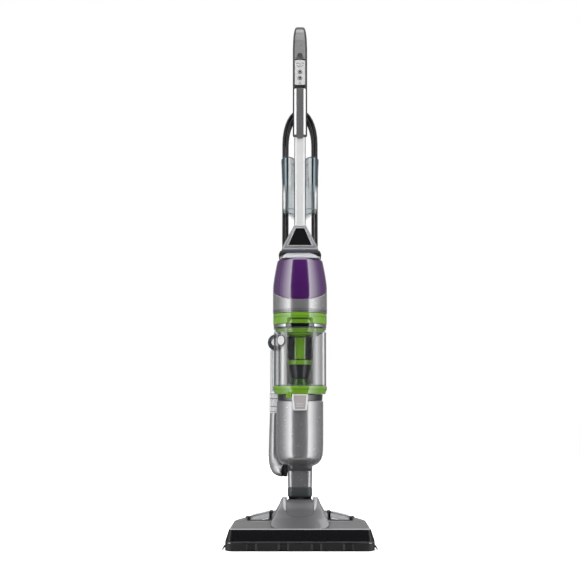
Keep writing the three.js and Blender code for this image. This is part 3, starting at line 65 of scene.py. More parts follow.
# ---------------------------------------------------------------- materials
def node(tree, kind, **values):
    made = tree.nodes.new(kind)
    for key, value in values.items():
        if key in made.inputs:
            made.inputs[key].default_value = value
        else:
            setattr(made, key, value)
    return made


def plastic(name, color, rough=0.35, metal=0.0, coat=0.0, alpha=1.0, grain=0.15, grain_mm=0.5, mottle=0.06,
        mottle_mm=25.0, rough_span=0.08, stretch=(1, 1, 1), specular=0.5, glow=0.0):
    """A moulded or painted surface: fine grain, faint colour mottling and uneven roughness."""
    m = bpy.data.materials.new(name)
    m.use_nodes = True
    tree = m.node_tree
    tree.nodes.clear()
    out = node(tree, "ShaderNodeOutputMaterial")
    shader = node(tree, "ShaderNodeBsdfPrincipled", Metallic=metal)
    shader.inputs["Coat Weight"].default_value = coat
    shader.inputs["Coat Roughness"].default_value = 0.06
    shader.inputs["Specular IOR Level"].default_value = specular
    shader.inputs["Alpha"].default_value = alpha
    shader.inputs["Emission Color"].default_value = (1, 1, 1, 1)
    shader.inputs["Emission Strength"].default_value = glow
    link = tree.links.new
    link(shader.outputs[0], out.inputs[0])
    where = node(tree, "ShaderNodeTexCoord")
    scaled = node(tree, "ShaderNodeMapping")
    scaled.inputs["Scale"].default_value = stretch
    link(where.outputs["Object"], scaled.inputs["Vector"])

    def noise(size_mm, detail):
        made = node(tree, "ShaderNodeTexNoise", Scale=1000 / size_mm, Detail=detail)
        link(scaled.outputs[0], made.inputs["Vector"])
        return made.outputs["Fac"]

    mix = node(tree, "ShaderNodeMix", data_type="RGBA")
    low = [c * (1 - mottle) for c in color]
    high = [min(1, c * (1 + mottle)) for c in color]
    mix.inputs[6].default_value = (*low, 1)
    mix.inputs[7].default_value = (*high, 1)
    link(noise(mottle_mm, 4), mix.inputs[0])
    link(mix.outputs[2], shader.inputs["Base Color"])
    spread = node(tree, "ShaderNodeMapRange")
    spread.inputs["To Min"].default_value = max(0.02, rough - rough_span / 2)
    spread.inputs["To Max"].default_value = rough + rough_span / 2
    link(noise(mottle_mm / 4, 6), spread.inputs["Value"])
    link(spread.outputs[0], shader.inputs["Roughness"])
    if grain:
        bump = node(tree, "ShaderNodeBump", Strength=grain, Distance=0.0002)
        link(noise(grain_mm, 3), bump.inputs["Height"])
        link(bump.outputs[0], shader.inputs["Normal"])
    return m


BODY = plastic("body_silver", (0.36, 0.36, 0.37), 0.26, metal=0.55, coat=0.6, grain=0.02, grain_mm=1.5)
FOOT = plastic("foot_paint", (0.2, 0.2, 0.205), 0.3, metal=0.5, coat=0.5, grain=0.02, grain_mm=1.5)
COLLAR = plastic("collar_grey", (0.07, 0.078, 0.078), 0.4, metal=0.2, grain=0.2)
BLACK = plastic("moulded_black", (0.012, 0.012, 0.013), 0.42, grain=0.35, grain_mm=0.7)
GLOSS = plastic("gloss_black", (0.008, 0.008, 0.009), 0.08, coat=1, grain=0, rough_span=0.04)
DARK = plastic("dark_moulding", (0.045, 0.046, 0.048), 0.4, grain=0.3, grain_mm=0.6)
CHARCOAL = plastic("grip_charcoal", (0.035, 0.035, 0.037), 0.48, grain=0.6, grain_mm=0.8)
RUBBER = plastic("rubber", (0.012, 0.012, 0.013), 0.55, grain=0.5, grain_mm=0.6, mottle=0.2)
CORD = plastic("cord_jacket", (0.006, 0.006, 0.007), 0.38, grain=0.2, grain_mm=0.5, coat=0.1)
PURPLE = plastic("hood_purple", (0.072, 0.009, 0.125), 0.16, coat=1, grain=0.03, specular=1.0)
GREEN = plastic("clear_green", (0.19, 0.42, 0.026), 0.15, coat=0.8, grain=0.04)
DEEP_GREEN = plastic("stand_green", (0.035, 0.11, 0.006), 0.15, coat=0.8, grain=0.04)
SILVER = plastic("silver_trim", (0.72, 0.72, 0.74), 0.22, metal=0.7, grain=0.06)
CHROME = plastic("bright_chrome", (0.62, 0.63, 0.65), 0.12, metal=1.0, grain=0.02)
PANEL = plastic("panel_pearl", (0.8, 0.8, 0.81), 0.3, metal=0.15, grain=0.05)
COVER = plastic("handle_grey", (0.33, 0.33, 0.335), 0.4, metal=0.3, grain=0.05)
# Pale grey of the button caps and the panel's top line, also used for the painted highlights on the hood's
# cheeks.
PALE_GREY_AND_HIGHLIGHT = plastic("pale_grey_and_cheek_highlight", (0.5, 0.5, 0.51), 0.4, metal=0.2, grain=0.05)
PANEL_BLACK = plastic("front_panel_black", (0.008, 0.008, 0.009), 0.22, grain=0.02, specular=0.3)
SLEEVE = plastic("sleeve_grey", (0.25, 0.25, 0.255), 0.3, metal=0.5, coat=0.3, grain=0.05)
POLE = plastic("pole_white", (0.85, 0.85, 0.85), 0.3, metal=0.1, coat=0.3, grain=0.05)
LATCH = plastic("latch_grey", (0.50, 0.47, 0.475), 0.35, metal=0.1, coat=0.4)
LATCH_EDGE = plastic("latch_edge", (0.82, 0.80, 0.80), 0.3, coat=0.5)
SLATE = plastic("slate_band", (0.065, 0.07, 0.1), 0.35, grain=0.1)
SCREEN = plastic("cyclone_screen", (0.06, 0.062, 0.07), 0.3, metal=0.6, grain=0.1)
CONE = plastic("cyclone_cone", (0.02, 0.02, 0.03), 0.3, coat=0.4)
FOAM = plastic("filter_foam", (0.05, 0.05, 0.055), 0.95, grain=1, grain_mm=0.9, mottle=0.3)
METAL = plastic("machined_metal", (0.55, 0.55, 0.57), 0.3, metal=1, stretch=(1, 1, 14), grain=0.2)
CLEAR = plastic("clear_cup", (0.45, 0.48, 0.53), 0.05, alpha=0.2, coat=1, grain=0.0)
CLEAR_EDGE = plastic("clear_edge", (0.16, 0.18, 0.21), 0.06, alpha=0.62, coat=1, grain=0.0)
TANK = plastic("tank_clear", (0.18, 0.36, 0.42), 0.05, alpha=0.17, coat=1, grain=0.0)
TANK_EDGE = plastic("tank_edge", (0.05, 0.11, 0.135), 0.06, alpha=0.65, coat=1, grain=0.0)
# The clear hose's colour, also used for the painted highlights on the riser.
HOSE_CLEAR_AND_HIGHLIGHT = plastic("hose_clear_and_riser_highlight", (0.6, 0.66, 0.68), 0.12, alpha=0.5, coat=0.5, grain=0.0)
SMOKE = plastic("smoked_pedal", (0.17, 0.175, 0.185), 0.16, coat=0.5, grain=0.05, mottle=0.3, mottle_mm=12)
# White of the pedal lips, also used for the painted highlight along the pedal tops.
PEDAL_PALE_AND_HIGHLIGHT = plastic("pedal_pale_and_highlight", (0.88, 0.89, 0.9), 0.15, coat=1, grain=0.05)


def painted_reflection_clear(name, half, low_stops, high_stops, change, tint, mirror=False, back_share=0.3):
    """Clear plastic with painted reflections and painted edge shade: bands of grey and opacity across x, in
    stops of (x in mm, grey, opacity).
    One list holds below a height and the other above it, with change giving where they meet."""
    m = plastic(name, (0.5, 0.5, 0.5), 0.05, coat=0.6, grain=0, rough_span=0.02)
    tree = m.node_tree
    link = tree.links.new
    shader = next(n for n in tree.nodes if n.type == "BSDF_PRINCIPLED")
    where = node(tree, "ShaderNodeTexCoord")
    parts = node(tree, "ShaderNodeSeparateXYZ")
    link(where.outputs["Object"], parts.inputs[0])
    x_line = parts.outputs["X"]
    if mirror:
        size = node(tree, "ShaderNodeMath", operation="ABSOLUTE")
        link(x_line, size.inputs[0])
        x_line = size.outputs[0]

    def ranged(source, low, high, to_low=0.0, to_high=1.0):
        made = node(tree, "ShaderNodeMapRange")
        for key, value in zip(("From Min", "From Max", "To Min", "To Max"), (low, high, to_low, to_high)):
            made.inputs[key].default_value = value
        link(source, made.inputs["Value"])
        return made.outputs[0]

    start = 0 if mirror else -half
    across = ranged(x_line, start * MM, half * MM)
    height = ranged(parts.outputs["Z"], change[0] * MM, change[1] * MM)

    def ramp(stops, index):
        made = node(tree, "ShaderNodeValToRGB")
        band = made.color_ramp
        while len(band.elements) < len(stops):
            band.elements.new(0.5)
        for element, stop in zip(band.elements, stops):
            element.position = (stop[0] - start) / (half - start)
            level = stop[index]
            shade = tint if index == 1 else (1, 1, 1)
            element.color = (*(level ** (2 - c) if index == 1 else level for c in shade), 1)
        link(across, made.inputs[0])
        return made.outputs[0]

    # The stops' grey goes into the base colour: bright and dark bands are painted reflections, and the dark
    # sides are painted shade.
    for index, socket in ((1, "Base Color"), (2, "Alpha")):
        mix = node(tree, "ShaderNodeMix", data_type="RGBA")
        link(height, mix.inputs[0])
        link(ramp(low_stops, index), mix.inputs[6])
        link(ramp(high_stops, index), mix.inputs[7])
        if index == 1:
            link(mix.outputs[2], shader.inputs[socket])
            continue
        product = node(tree, "ShaderNodeMath", operation="MULTIPLY")
        link(mix.outputs[2], product.inputs[0])
        link(ranged(parts.outputs["Y"], -0.004, 0.004, 1.0, back_share), product.inputs[1])
        link(product.outputs[0], shader.inputs[socket])
    return m


# The cup wall's stops: the bright and dark upright bands are painted reflections of the studio, and the
# dark, nearly opaque sides are painted shade of the wall seen edge-on.
CUP_REFLECTION_STOPS = [(-58.3, 0.02, 0.95), (-55, 0.03, 0.85), (-52.5, 0.2, 0.6), (-50, 0.5, 0.5),
    (-47, 0.12, 0.65)]
CUP_REFLECTION_STOPS += [(-43, 0.05, 0.7), (-40.6, 0.75, 0.6), (-38, 0.95, 0.5), (-30, 0.9, 0.35),
    (-27.5, 0.08, 0.35)]
CUP_REFLECTION_STOPS += [(-25, 0.3, 0.05), (24, 0.3, 0.05), (27, 0.1, 0.35), (29.5, 0.85, 0.3), (34, 0.8, 0.35),
    (38, 0.2, 0.5)]
CUP_REFLECTION_STOPS += [(46, 0.06, 0.7), (49.5, 0.1, 0.65), (50.3, 0.95, 0.85), (53, 0.95, 0.85),
    (54.3, 0.04, 0.85)]
CUP_REFLECTION_STOPS += [(58.3, 0.02, 0.95)]
# Above 461 to 465 mm the bands thin out so the cap's green shows through; the bright bands there are
# painted reflections.
CUP_TOP_REFLECTION_STOPS = [(-58.3, 0.04, 0.6), (-56.5, 0.2, 0.12), (-38, 0.9, 0.12), (-30, 0.9, 0.3), (-27, 0.5, 0.03)]
CUP_TOP_REFLECTION_STOPS += [(28, 0.5, 0.03), (32, 0.9, 0.3), (37, 0.9, 0.1), (56.5, 0.2, 0.12), (58.3, 0.04, 0.6)]
CUP_PAINTED_REFLECTIONS = painted_reflection_clear("cup_clear_painted_reflections", 58.4, CUP_REFLECTION_STOPS, CUP_TOP_REFLECTION_STOPS, (461, 465), (0.98, 1.0, 1.06))
# The water tank's stops, mirrored about x = 0: the white bands are painted reflections of the studio, and
# the dark, nearly opaque bands are painted shade where the walls turn away.
TANK_LOWER_REFLECTION_STOPS = [(12, 0.6, 0.35), (20, 0.7, 0.5), (26.5, 0.6, 0.45), (27.6, 0.03, 0.85), (31, 0.015, 0.95)]
TANK_LOWER_REFLECTION_STOPS += [(32.6, 0.03, 0.9), (33.6, 0.95, 0.9), (37.6, 0.95, 0.9), (38.8, 0.12, 0.7), (42, 0.05, 0.85)]
TANK_UPPER_REFLECTION_STOPS = [(12, 0.3, 0.5), (18.5, 0.4, 0.5), (20.5, 0.95, 0.85), (25, 0.95, 0.85), (27, 0.05, 0.85)]
TANK_UPPER_REFLECTION_STOPS += [(30, 0.03, 0.9), (31.4, 0.45, 0.8), (33.2, 0.4, 0.8), (35, 0.06, 0.85), (41, 0.03, 0.9)]
TANK_UPPER_REFLECTION_STOPS += [(44.4, 0.12, 0.85)]
TANK_PAINTED_REFLECTIONS = painted_reflection_clear("tank_painted_reflections", 44.6, TANK_LOWER_REFLECTION_STOPS, TANK_UPPER_REFLECTION_STOPS, (778, 800), (0.7, 1.0, 1.1), True,
    0.4)

# ---------------------------------------------------------------- shape helpers
def fillet(points, radius, steps=4, closed=True):
    """Rounds the corners of an outline. radius is one number or one per corner."""
    count = len(points)
    radii = radius if isinstance(radius, (list, tuple)) else [radius] * count
    made = []
    for i, point in enumerate(points):
        here = Vector(point)
        if radii[i] <= 0 or (not closed and i in (0, count - 1)):
            made.append(tuple(here))
            continue
        before = Vector(points[i - 1]) - here
        after = Vector(points[(i + 1) % count]) - here
        if before.length < 1e-6 or after.length < 1e-6:
            made.append(tuple(here))
            continue
        cosine = max(-1, min(1, before.normalized().dot(after.normalized())))
        angle = acos(cosine)
        if angle > radians(176):
            made.append(tuple(here))
            continue
        reach = min(radii[i] / tan(angle / 2), 0.48 * before.length, 0.48 * after.length)
        start = here + before.normalized() * reach
        end = here + after.normalized() * reach
        for k in range(steps + 1):
            t = k / steps
            made.append(tuple(start * (1 - t) ** 2 + here * 2 * t * (1 - t) + end * t * t))
    return made


def square_ring(inner, outer, low, high):
    """The closed profile of a ring with a square section, for lathe."""
    return [(inner, low), (outer, low), (outer, high), (inner, high), (inner, low)]


def rounded(x0, x1, y0, y1, radius, steps=5):
    return fillet([(x0, y0), (x1, y0), (x1, y1), (x0, y1)], radius, steps)


def resample(points, count, closed=True):
    """The same outline with count points, evenly spaced."""
    line = [Vector(p) for p in points] + ([Vector(points[0])] if closed else [])
    lengths = [0.0]
    for a, b in zip(line, line[1:]):
        lengths.append(lengths[-1] + (b - a).length)
    made, k = [], 0
    for i in range(count):
        want = lengths[-1] * i / (count if closed else count - 1)
        while k < len(line) - 2 and lengths[k + 1] < want:
            k += 1
        span = max(1e-9, lengths[k + 1] - lengths[k])
        made.append(tuple(line[k].lerp(line[k + 1], min(1, (want - lengths[k]) / span))))
    return made


def interpolate(pairs, x):
    """A piecewise linear function through pairs."""
    if x <= pairs[0][0]:
        return pairs[0][1]
    for (x0, y0), (x1, y1) in zip(pairs, pairs[1:]):
        if x <= x1:
            return y0 + (y1 - y0) * (x - x0) / max(1e-9, x1 - x0)
    return pairs[-1][1]


def smoothstep(low, high, x):
    t = max(0.0, min(1.0, (x - low) / (high - low)))
    return t * t * (3 - 2 * t)


def stand_in(name, stands_for):
    """Says which CAD nodes a piece replaces: the ones given, or the node of the same name."""
    if not stands_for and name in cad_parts:
        stands_for = [name]
    if stands_for:
        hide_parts(*stands_for)


def finished(name, mesh, material, body, stands_for=(), sharp=32):
    for polygon in mesh.polygons:
        polygon.use_smooth = True
    mesh.set_sharp_from_angle(angle=radians(sharp))
    made = bpy.data.objects.new(name, mesh)
    scene.collection.objects.link(made)
    for one in material if isinstance(material, (list, tuple)) else [material]:
        mesh.materials.append(one)
    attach(made, body)
    stand_in(name, stands_for)
    return made


def piece(name, points, faces, material, body="upright", stands_for=(), bevel=0.0, sharp=32):
    mesh = bpy.data.meshes.new(name)
    mesh.from_pydata([tuple(c * MM for c in p) for p in points], [], faces)
    shape = bmesh.new()
    shape.from_mesh(mesh)
    bmesh.ops.remove_doubles(shape, verts=shape.verts, dist=1e-6)
    bmesh.ops.dissolve_degenerate(shape, edges=shape.edges, dist=1e-7)
    bmesh.ops.recalc_face_normals(shape, faces=shape.faces)
    shape.to_mesh(mesh)
    shape.free()
    made = finished(name, mesh, material, body, stands_for, sharp)
    if bevel:
        add_bevel(made, bevel)
    return made


def add_bevel(made, width):
    bevel = made.modifiers.new("edges", "BEVEL")
    bevel.width = width * MM
    bevel.segments = 3
    bevel.limit_method = "ANGLE"
    bevel.angle_limit = radians(32)
    bevel.harden_normals = True


def loft(name, rings, material, body="upright", stands_for=(), caps=True, bevel=0.0, wrap=False, **more):
    """A skin over rings of points, which all have the same count."""
    count = len(rings[0])
    points = [p for ring in rings for p in ring]
    faces = []
    last = len(rings) if wrap else len(rings) - 1
    for i in range(last):
        j = (i + 1) % len(rings)
        for k in range(count):
            n = (k + 1) % count
            faces.append((i * count + k, i * count + n, j * count + n, j * count + k))
    if caps and not wrap:
        faces.append(tuple(range(count))[::-1])
        faces.append(tuple((len(rings) - 1) * count + k for k in range(count)))
    return piece(name, points, faces, material, body, stands_for, bevel, **more)


def lathe(name, profile, material, body="upright", stands_for=(), at=(0, 0), sides=96, round_by=0.0,
        **more):
    """Pairs of radius and height turned about an upright axis. A closed profile repeats its start."""
    closed = profile[0] == profile[-1]
    line = profile[:-1] if closed else profile
    if round_by:
        line = fillet(line, round_by, 3, closed)
    rings = []
    for radius, z in line:
        turn = [2 * pi * k / sides for k in range(sides)]
        rings.append([(at[0] + radius * cos(a), at[1] + radius * sin(a), z) for a in turn])
    return loft(name, rings, material, body, stands_for, caps=False, wrap=closed, **more)


def upright_loft(name, outline, levels, material, body="upright", stands_for=(), centre=(0, 0), **more):
    """An outline in x and y carried up through levels of (z, share of x, share of y, lean)."""
    rings = []
    for level in levels:
        z, sx, sy = level[:3]
        lean = level[3] if len(level) > 3 else 0
        rings.append([(centre[0] + (x - centre[0]) * sx, centre[1] + (y - centre[1]) * sy,
            z + lean * (y - centre[1])) for x, y in outline])
    return loft(name, rings, material, body, stands_for, **more)


def prism(name, outline, axis, low, high, material, body="upright", stands_for=(), bevel=0.6, **more):
    """An outline extruded along an axis, with eased edges."""
    place = {"y": lambda u, v, w: (u, w, v), "z": lambda u, v, w: (u, v, w)}[axis]
    rings = [[place(u, v, w) for u, v in outline] for w in (low, high)]
    return loft(name, rings, material, body, stands_for, bevel=bevel, **more)


def block(name, x, y, z, material, body="upright", stands_for=(), bevel=0.6, **more):
    outline = [(x[0], y[0]), (x[1], y[0]), (x[1], y[1]), (x[0], y[1])]
    return prism(name, outline, "z", z[0], z[1], material, body, stands_for, bevel, **more)


def tube(name, points, radius, material, body="upright", stands_for=(), radii=None, smooth=True):
    """A round bar along points, as a curve with one spline."""
    data = bpy.data.curves.new(name, "CURVE")
    data.dimensions = "3D"
    data.bevel_depth = radius * MM
    data.bevel_resolution = 6
    data.use_fill_caps = True
    data.resolution_u = 8
    spline = data.splines.new("BEZIER" if smooth else "POLY")
    if smooth:
        spline.bezier_points.add(len(points) - 1)
        for i, (point, target) in enumerate(zip(spline.bezier_points, points)):
            point.co = Vector(target) * MM
            point.handle_left_type = point.handle_right_type = "AUTO"
            point.radius = radii[i] if radii else 1
    else:
        spline.points.add(len(points) - 1)
        for i, (point, target) in enumerate(zip(spline.points, points)):
            point.co = (*(Vector(target) * MM), 1)
            point.radius = radii[i] if radii else 1
    spline.use_smooth = True
    data.materials.append(material)
    made = bpy.data.objects.new(name, data)
    scene.collection.objects.link(made)
    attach(made, body)
    stand_in(name, stands_for)
    return made


def ring_wall(name, radius_at, low_at, high_at, thick, material, body="upright", stands_for=(), **more):
    """A round wall whose radius depends on height and angle, between two edges that may slope."""
    sides, levels = 128, more.pop("levels", 24)
    outer, inner = [], []
    for i in range(levels + 1):
        row_out, row_in = [], []
        for k in range(sides):
            a = 2 * pi * k / sides
            low, high = low_at(a), high_at(a)
            z = low + (high - low) * i / levels
            r = radius_at(a, z)
            ease = 0.5 if i in (0, levels) else 0
            row_out.append(((r - ease) * cos(a), (r - ease) * sin(a), z))
            row_in.append(((r - thick) * cos(a), (r - thick) * sin(a), z))
        outer.append(row_out)
        inner.append(row_in)
    return loft(name, outer + inner[::-1], material, body, stands_for, wrap=True, **more)


def place_at(made, x=0.0, y=0.0, z=0.0, about=None, angle=0.0):
    """Turns and moves a piece's points, which stay in the row frame."""
    turn = Matrix.Rotation(angle, 4, about) if about else Matrix.Identity(4)
    made.data.transform(Matrix.Translation(Vector((x, y, z)) * MM) @ turn)
    return made


def cutter(name, outline, axis, low, high, body="foot"):
    made = prism(name, outline, axis, low, high, BLACK, body, bevel=0)
    made.hide_render = True
    return made


def carve(made, tool):
    cut = made.modifiers.new("cut_" + tool.name, "BOOLEAN")
    cut.operation = "DIFFERENCE"
    cut.solver = "EXACT"
    cut.object = tool


def screw_head(name, x, y, z, radius, body):
    """A screw head with a round socket, facing +Y, sunk a little."""
    profile = [(0, 0), (radius * 0.35, 0.1), (radius * 0.4, 0.9), (radius, 1.1), (radius, 0), (0, 0)]
    return place_at(lathe(name, profile, METAL, body, sides=24), x, y, z, *TO_BACK)


# ---------------------------------------------------------------- cord, wound on its two hooks
CORD_D = 7.0
WIND_LOW, WIND_HIGH, WIND_RISE, WIND_HALF = 642, 911, 84, 41.5
WIND_FRONT = 60
# Each turn's place in the winding: how far in from its outer edge, and which layer from the front.
TURN_PLACES = [(0.75, 0), (0.25, 0), (0.25, 1), (0.75, 1), (0.75, 2), (0.25, 2)]
TURN_PLACES += [(0.25, 3), (0.75, 3), (0.75, 4), (0.25, 4)]


def winding_point(part, share, layer_y, t):
    half = WIND_HALF - 15 * share
    rise = WIND_RISE - 18 * share
    if part == "left":
        return (-half, layer_y, WIND_LOW + (WIND_HIGH - WIND_LOW) * t)
    if part == "right":
        return (half, layer_y, WIND_HIGH - (WIND_HIGH - WIND_LOW) * t)
    angle = pi * (1 - t)
    if part == "top":
        return (half * cos(angle), layer_y, WIND_HIGH + rise * sin(angle))
    return (half * cos(-pi * t), layer_y, WIND_LOW + half * sin(-pi * t))


def cord_route():
    layer = lambda n: WIND_FRONT + CORD_D / 2 + CORD_D * n
    route = [(-31, 37, 664), (-31.1, 37.6, 680), (-31.6, 41, 697), (-32.2, 46, 712)]
    route += [(-32.4, 51, 727), (-32, 55.5, 744), (-31.2, 59, 765), (-30.5, 62, 795)]
    for n, (share, depth) in enumerate(TURN_PLACES):
        start = 0.62 if n == 0 else 0.1
        for k in range(5):
            t = start + (1 - start) * k / 5
            route.append(winding_point("left", share, layer(depth), t))
        last = n == len(TURN_PLACES) - 1
        for k in range(16 if not last else 12):
            route.append(winding_point("top", share, layer(depth), k / 16))
        if last:
            break
        for k in range(6):
            route.append(winding_point("right", share, layer(depth), k / 6))
        next_share, next_depth = TURN_PLACES[n + 1]
        for k in range(15):
            t = k / 14
            mix = smoothstep(0, 1, t)
            s = share + (next_share - share) * mix
            y = layer(depth) + (layer(next_depth) - layer(depth)) * mix
            route.append(winding_point("bottom", s, y, t))
    return route + [(34.6, 93.5, 945), (34.6, 96, 925), (33.4, 99.5, 905), (31.8, 101.8, 890),
        (31, 102.4, 874)]


route = cord_route()
cord = tube("power_cord", route, CORD_D / 2, CORD, "upright", ["cord_lead", "cord_winding"], smooth=False)

RELIEF_RIBS = 7
relief_profile = [(0, 643.4), (8.2, 643.4), (8.2, 646.6), (7, 648)]
for i in range(RELIEF_RIBS):
    z = 649 + i * 3.2
    r = 6.3 - i * 0.26
    relief_profile += [(r, z), (r, z + 1.8), (r - 0.9, z + 2.2), (r - 0.9, z + 2.9)]
relief_profile += [(4.3, 671.4), (0, 671.4)]
relief = lathe("strain_relief", relief_profile, RUBBER, "upright", ["cord_strain_relief"], (-31, 37), 40)

PLUG_X, PLUG_Y, PLUG_Z = 31.0, 102.65, 816.0
plug_rings = []
for up, half_x, half_y in [(0, 10.4, 6.2), (1.2, 11.8, 7.2), (17, 12, 7.25), (24, 11, 7), (30, 7.4, 6.4),
        (33, 6.0, 5.8), (36, 5.7, 5.6)]:
    ring = rounded(-half_x, half_x, -half_y, half_y, min(half_x, half_y) * 0.7, 5)
    plug_rings.append([(PLUG_X + x, PLUG_Y + y, PLUG_Z + up) for x, y in ring])
for i in range(5):
    for up, r in [(38 + i * 5, 5.3 - i * 0.25), (41 + i * 5, 5.2 - i * 0.25), (41.6 + i * 5, 4.3),
            (42.6 + i * 5, 4.3)]:
        turn = rounded(-r, r, -r, r, r * 0.98, 5)
        plug_rings.append([(PLUG_X + x, PLUG_Y + y, PLUG_Z + up) for x, y in turn])
plug = loft("plug", plug_rings, RUBBER)
for side, word in SIDES:
    blade = prism(f"plug_blade_{word}", rounded(-0.75, 0.75, -3.1, 3.1, 0.7, 2), "z", PLUG_Z - 17.5,
        PLUG_Z + 1, METAL, bevel=0.4)
    place_at(blade, PLUG_X + side * 6.35, PLUG_Y)

# ---------------------------------------------------------------- cord hooks
prism("cord_hook_lip", fillet([(-12, 951.4), (12, 951.4), (12, 990), (7, 1001.4), (-7, 1001.4), (-12, 990)],
    5, 5), "y", 96, 102, BLACK, "upper_cord_hook", ["upper_cord_hook"], bevel=1.6)
boss = lathe("cord_hook_boss", [(0, 0), (11, 0), (11, 84), (0, 84)], BLACK, "upper_cord_hook", sides=48,
    round_by=1.2)
place_at(boss, 0, 10, 965.4, *TO_BACK)
thumb = lathe("cord_hook_mark", [(0, 0), (4.5, 0), (4.5, 0.8), (3.4, 0.8), (3.4, 0.4), (0, 0.4)], DARK,
    "upper_cord_hook", sides=32)
place_at(thumb, 0, 101.8, 975, *TO_BACK)

# ---------------------------------------------------------------- motor section
SEAM_Z, SEAM_SLOPE = 558.0, 0.42
MOTOR_LOW, MOTOR_TOP, MOTOR_R = 505.2, 625.7, 60.4


def seam(a, offset=0.0):
    return SEAM_Z + offset + SEAM_SLOPE * MOTOR_R * sin(a)


def housing_radius(a, z):
    groove = 1.2 if 508.0 < z < 509.6 else 0
    return MOTOR_R - groove - 0.5 * smoothstep(507.5, 505.2, z)


ring_wall("motor_housing", housing_radius, lambda a: MOTOR_LOW, lambda a: seam(a, -0.3), 2.6, BODY,
    levels=60)
lathe("motor_floor", [(32, MOTOR_LOW + 0.4), (58, MOTOR_LOW + 0.4), (58, MOTOR_LOW + 2.6),
    (32, MOTOR_LOW + 2.6), (32, MOTOR_LOW + 0.4)], DARK)
HOOD_PROFILE = [(505, 60.4), (558, 60.4), (565, 60.3), (572, 59.7), (590, 57.2), (608, 53.9)]
HOOD_PROFILE += [(619, 51.7), (622.5, 50.9), (625, 49.6), (625.7, 48.4)]
ring_wall("motor_hood", lambda a, z: interpolate(HOOD_PROFILE, z), lambda a: seam(a, 0.4),
    lambda a: MOTOR_TOP, 2.4, PURPLE, levels=48)
ring_wall("hood_seam_line", lambda a, z: MOTOR_R - 0.7, lambda a: seam(a, -0.4), lambda a: seam(a, 0.5),
    1.4, SILVER, levels=2)
lathe("hood_top", square_ring(12, 46, 623.6, 625.6), PURPLE)
lathe("trim_ring", [(12, 626.2), (43.2, 626.2), (44, 627), (43.4, 630), (41.2, 636.2), (40.6, 636.7),
    (12, 636.7), (12, 626.2)], CHROME)

for i, z in enumerate((507.2, 511.6)):
    groove = square_ring(59.4, 60.75, z, z + 0.9)
    lathe(f"housing_groove_{i}", groove, DARK, sides=128)

# ---------------------------------------------------------------- shoulder, yoke and pole
shoulder_outline = resample(fillet([(-47, -45), (47, -45), (47, 44), (-47, 44)], [1.5, 1.5, 16, 16], 4),
    160)


def shoulder_ring(z, share, edge_drop):
    made = []
    for x, y in shoulder_outline:
        corner = smoothstep(27, 46, abs(x)) if y < 0 else 1
        made.append((x * share, y * (0.5 + share / 2), z - edge_drop * corner))
    return made


loft("shoulder_cap", [shoulder_ring(637.9, 0.96, 7.2), shoulder_ring(638.2, 1.0, 6.9),
    shoulder_ring(638.8, 1.0, 5.6), shoulder_ring(640.2, 0.975, 2.6), shoulder_ring(641.8, 0.93, 0.4),
    shoulder_ring(643.1, 0.883, 0)], BLACK, sharp=50)
prism("shoulder_band", fillet([(-36.5, 637.2), (36.5, 637.2), (32.5, 643.0), (-32.5, 643.0)], 0.6, 2), "y",
    -45.3, -40, SLATE, bevel=0.5)
skirt_outline = resample(rounded(-44, 44, -44.6, 36, 17, 8), 120)
upright_loft("trim_skirt", skirt_outline, [(626.4, 0.99, 0.99), (627.2, 1, 1), (631, 0.985, 0.99),
    (637.8, 0.93, 0.97)], PANEL)
lathe("shoulder_core", square_ring(40.6, 45, 637.2, 641), BLACK)
# The lower cord hook: a saddle under the winding and a lip behind it.
saddle = []
for k in range(13):
    a = -pi / 2 + radians(36) * (k - 6) / 6
    saddle.append((25.7 * cos(a), 642 + 25.7 * sin(a)))
saddle += [(15.1, 639), (-15.1, 639)]
prism("lower_cord_hook", saddle, "y", 46, 97.5, BLACK, bevel=0.8)
prism("lower_hook_lip", fillet([(-14, 637), (-14, 606), (-8, 602.5), (8, 602.5), (14, 606), (14, 637)], 3,
    4), "y", 96, 102, BLACK, bevel=1.4)

YOKE_LOW, YOKE_TOP = 643.5, 702.0


def yoke_front(z):
    return -42 + 13 * (z - YOKE_LOW) / (YOKE_TOP - YOKE_LOW)


def yoke_frame(name, outer, inner, front, depth, material, stands_for=(), bevel=0.9):
    """A frame of two outlines in x and z, whose front follows the yoke's slope."""
    rings = []
    for outline, back in ((outer, 0), (inner, 0), (inner, 1), (outer, 1)):
        rings.append([(x, (yoke_front(z) + front + back * depth), z) for x, z in outline])
    return loft(name, rings, material, "upright", stands_for, wrap=True, bevel=bevel)


outer_yoke = [(-40.6, YOKE_LOW), (40.6, YOKE_LOW), (39.6, 650), (13.4, YOKE_TOP), (-13.4, YOKE_TOP),
    (-39.6, 650)]
inner_yoke = [(-26, 655.0), (26, 655.0), (25.6, 656), (9.8, 694.4), (-9.8, 694.4), (-25.6, 656)]
yoke_frame("yoke_cover", outer_yoke, inner_yoke, 0, 4, BODY)
rim_yoke = [(-30.5, 652.2), (30.5, 652.2), (30, 653.4), (11.2, 697.2), (-11.2, 697.2), (-30, 653.4)]
yoke_frame("yoke_inner_rim", rim_yoke, inner_yoke, -0.9, 2, SILVER, bevel=0.5)
side_yoke = [(-38.4, 645.4), (38.4, 645.4), (37.4, 650.2), (12.9, 701), (-12.9, 701), (-37.4, 650.2)]
inner_side = [(-35.2, 648.2), (35.2, 648.2), (34.6, 650.6), (12.2, 698.4), (-12.2, 698.4), (-34.6, 650.6)]
yoke_frame("yoke_outer_rim", side_yoke, inner_side, -0.5, 2, SILVER, bevel=0.4)
sides_of_yoke = []
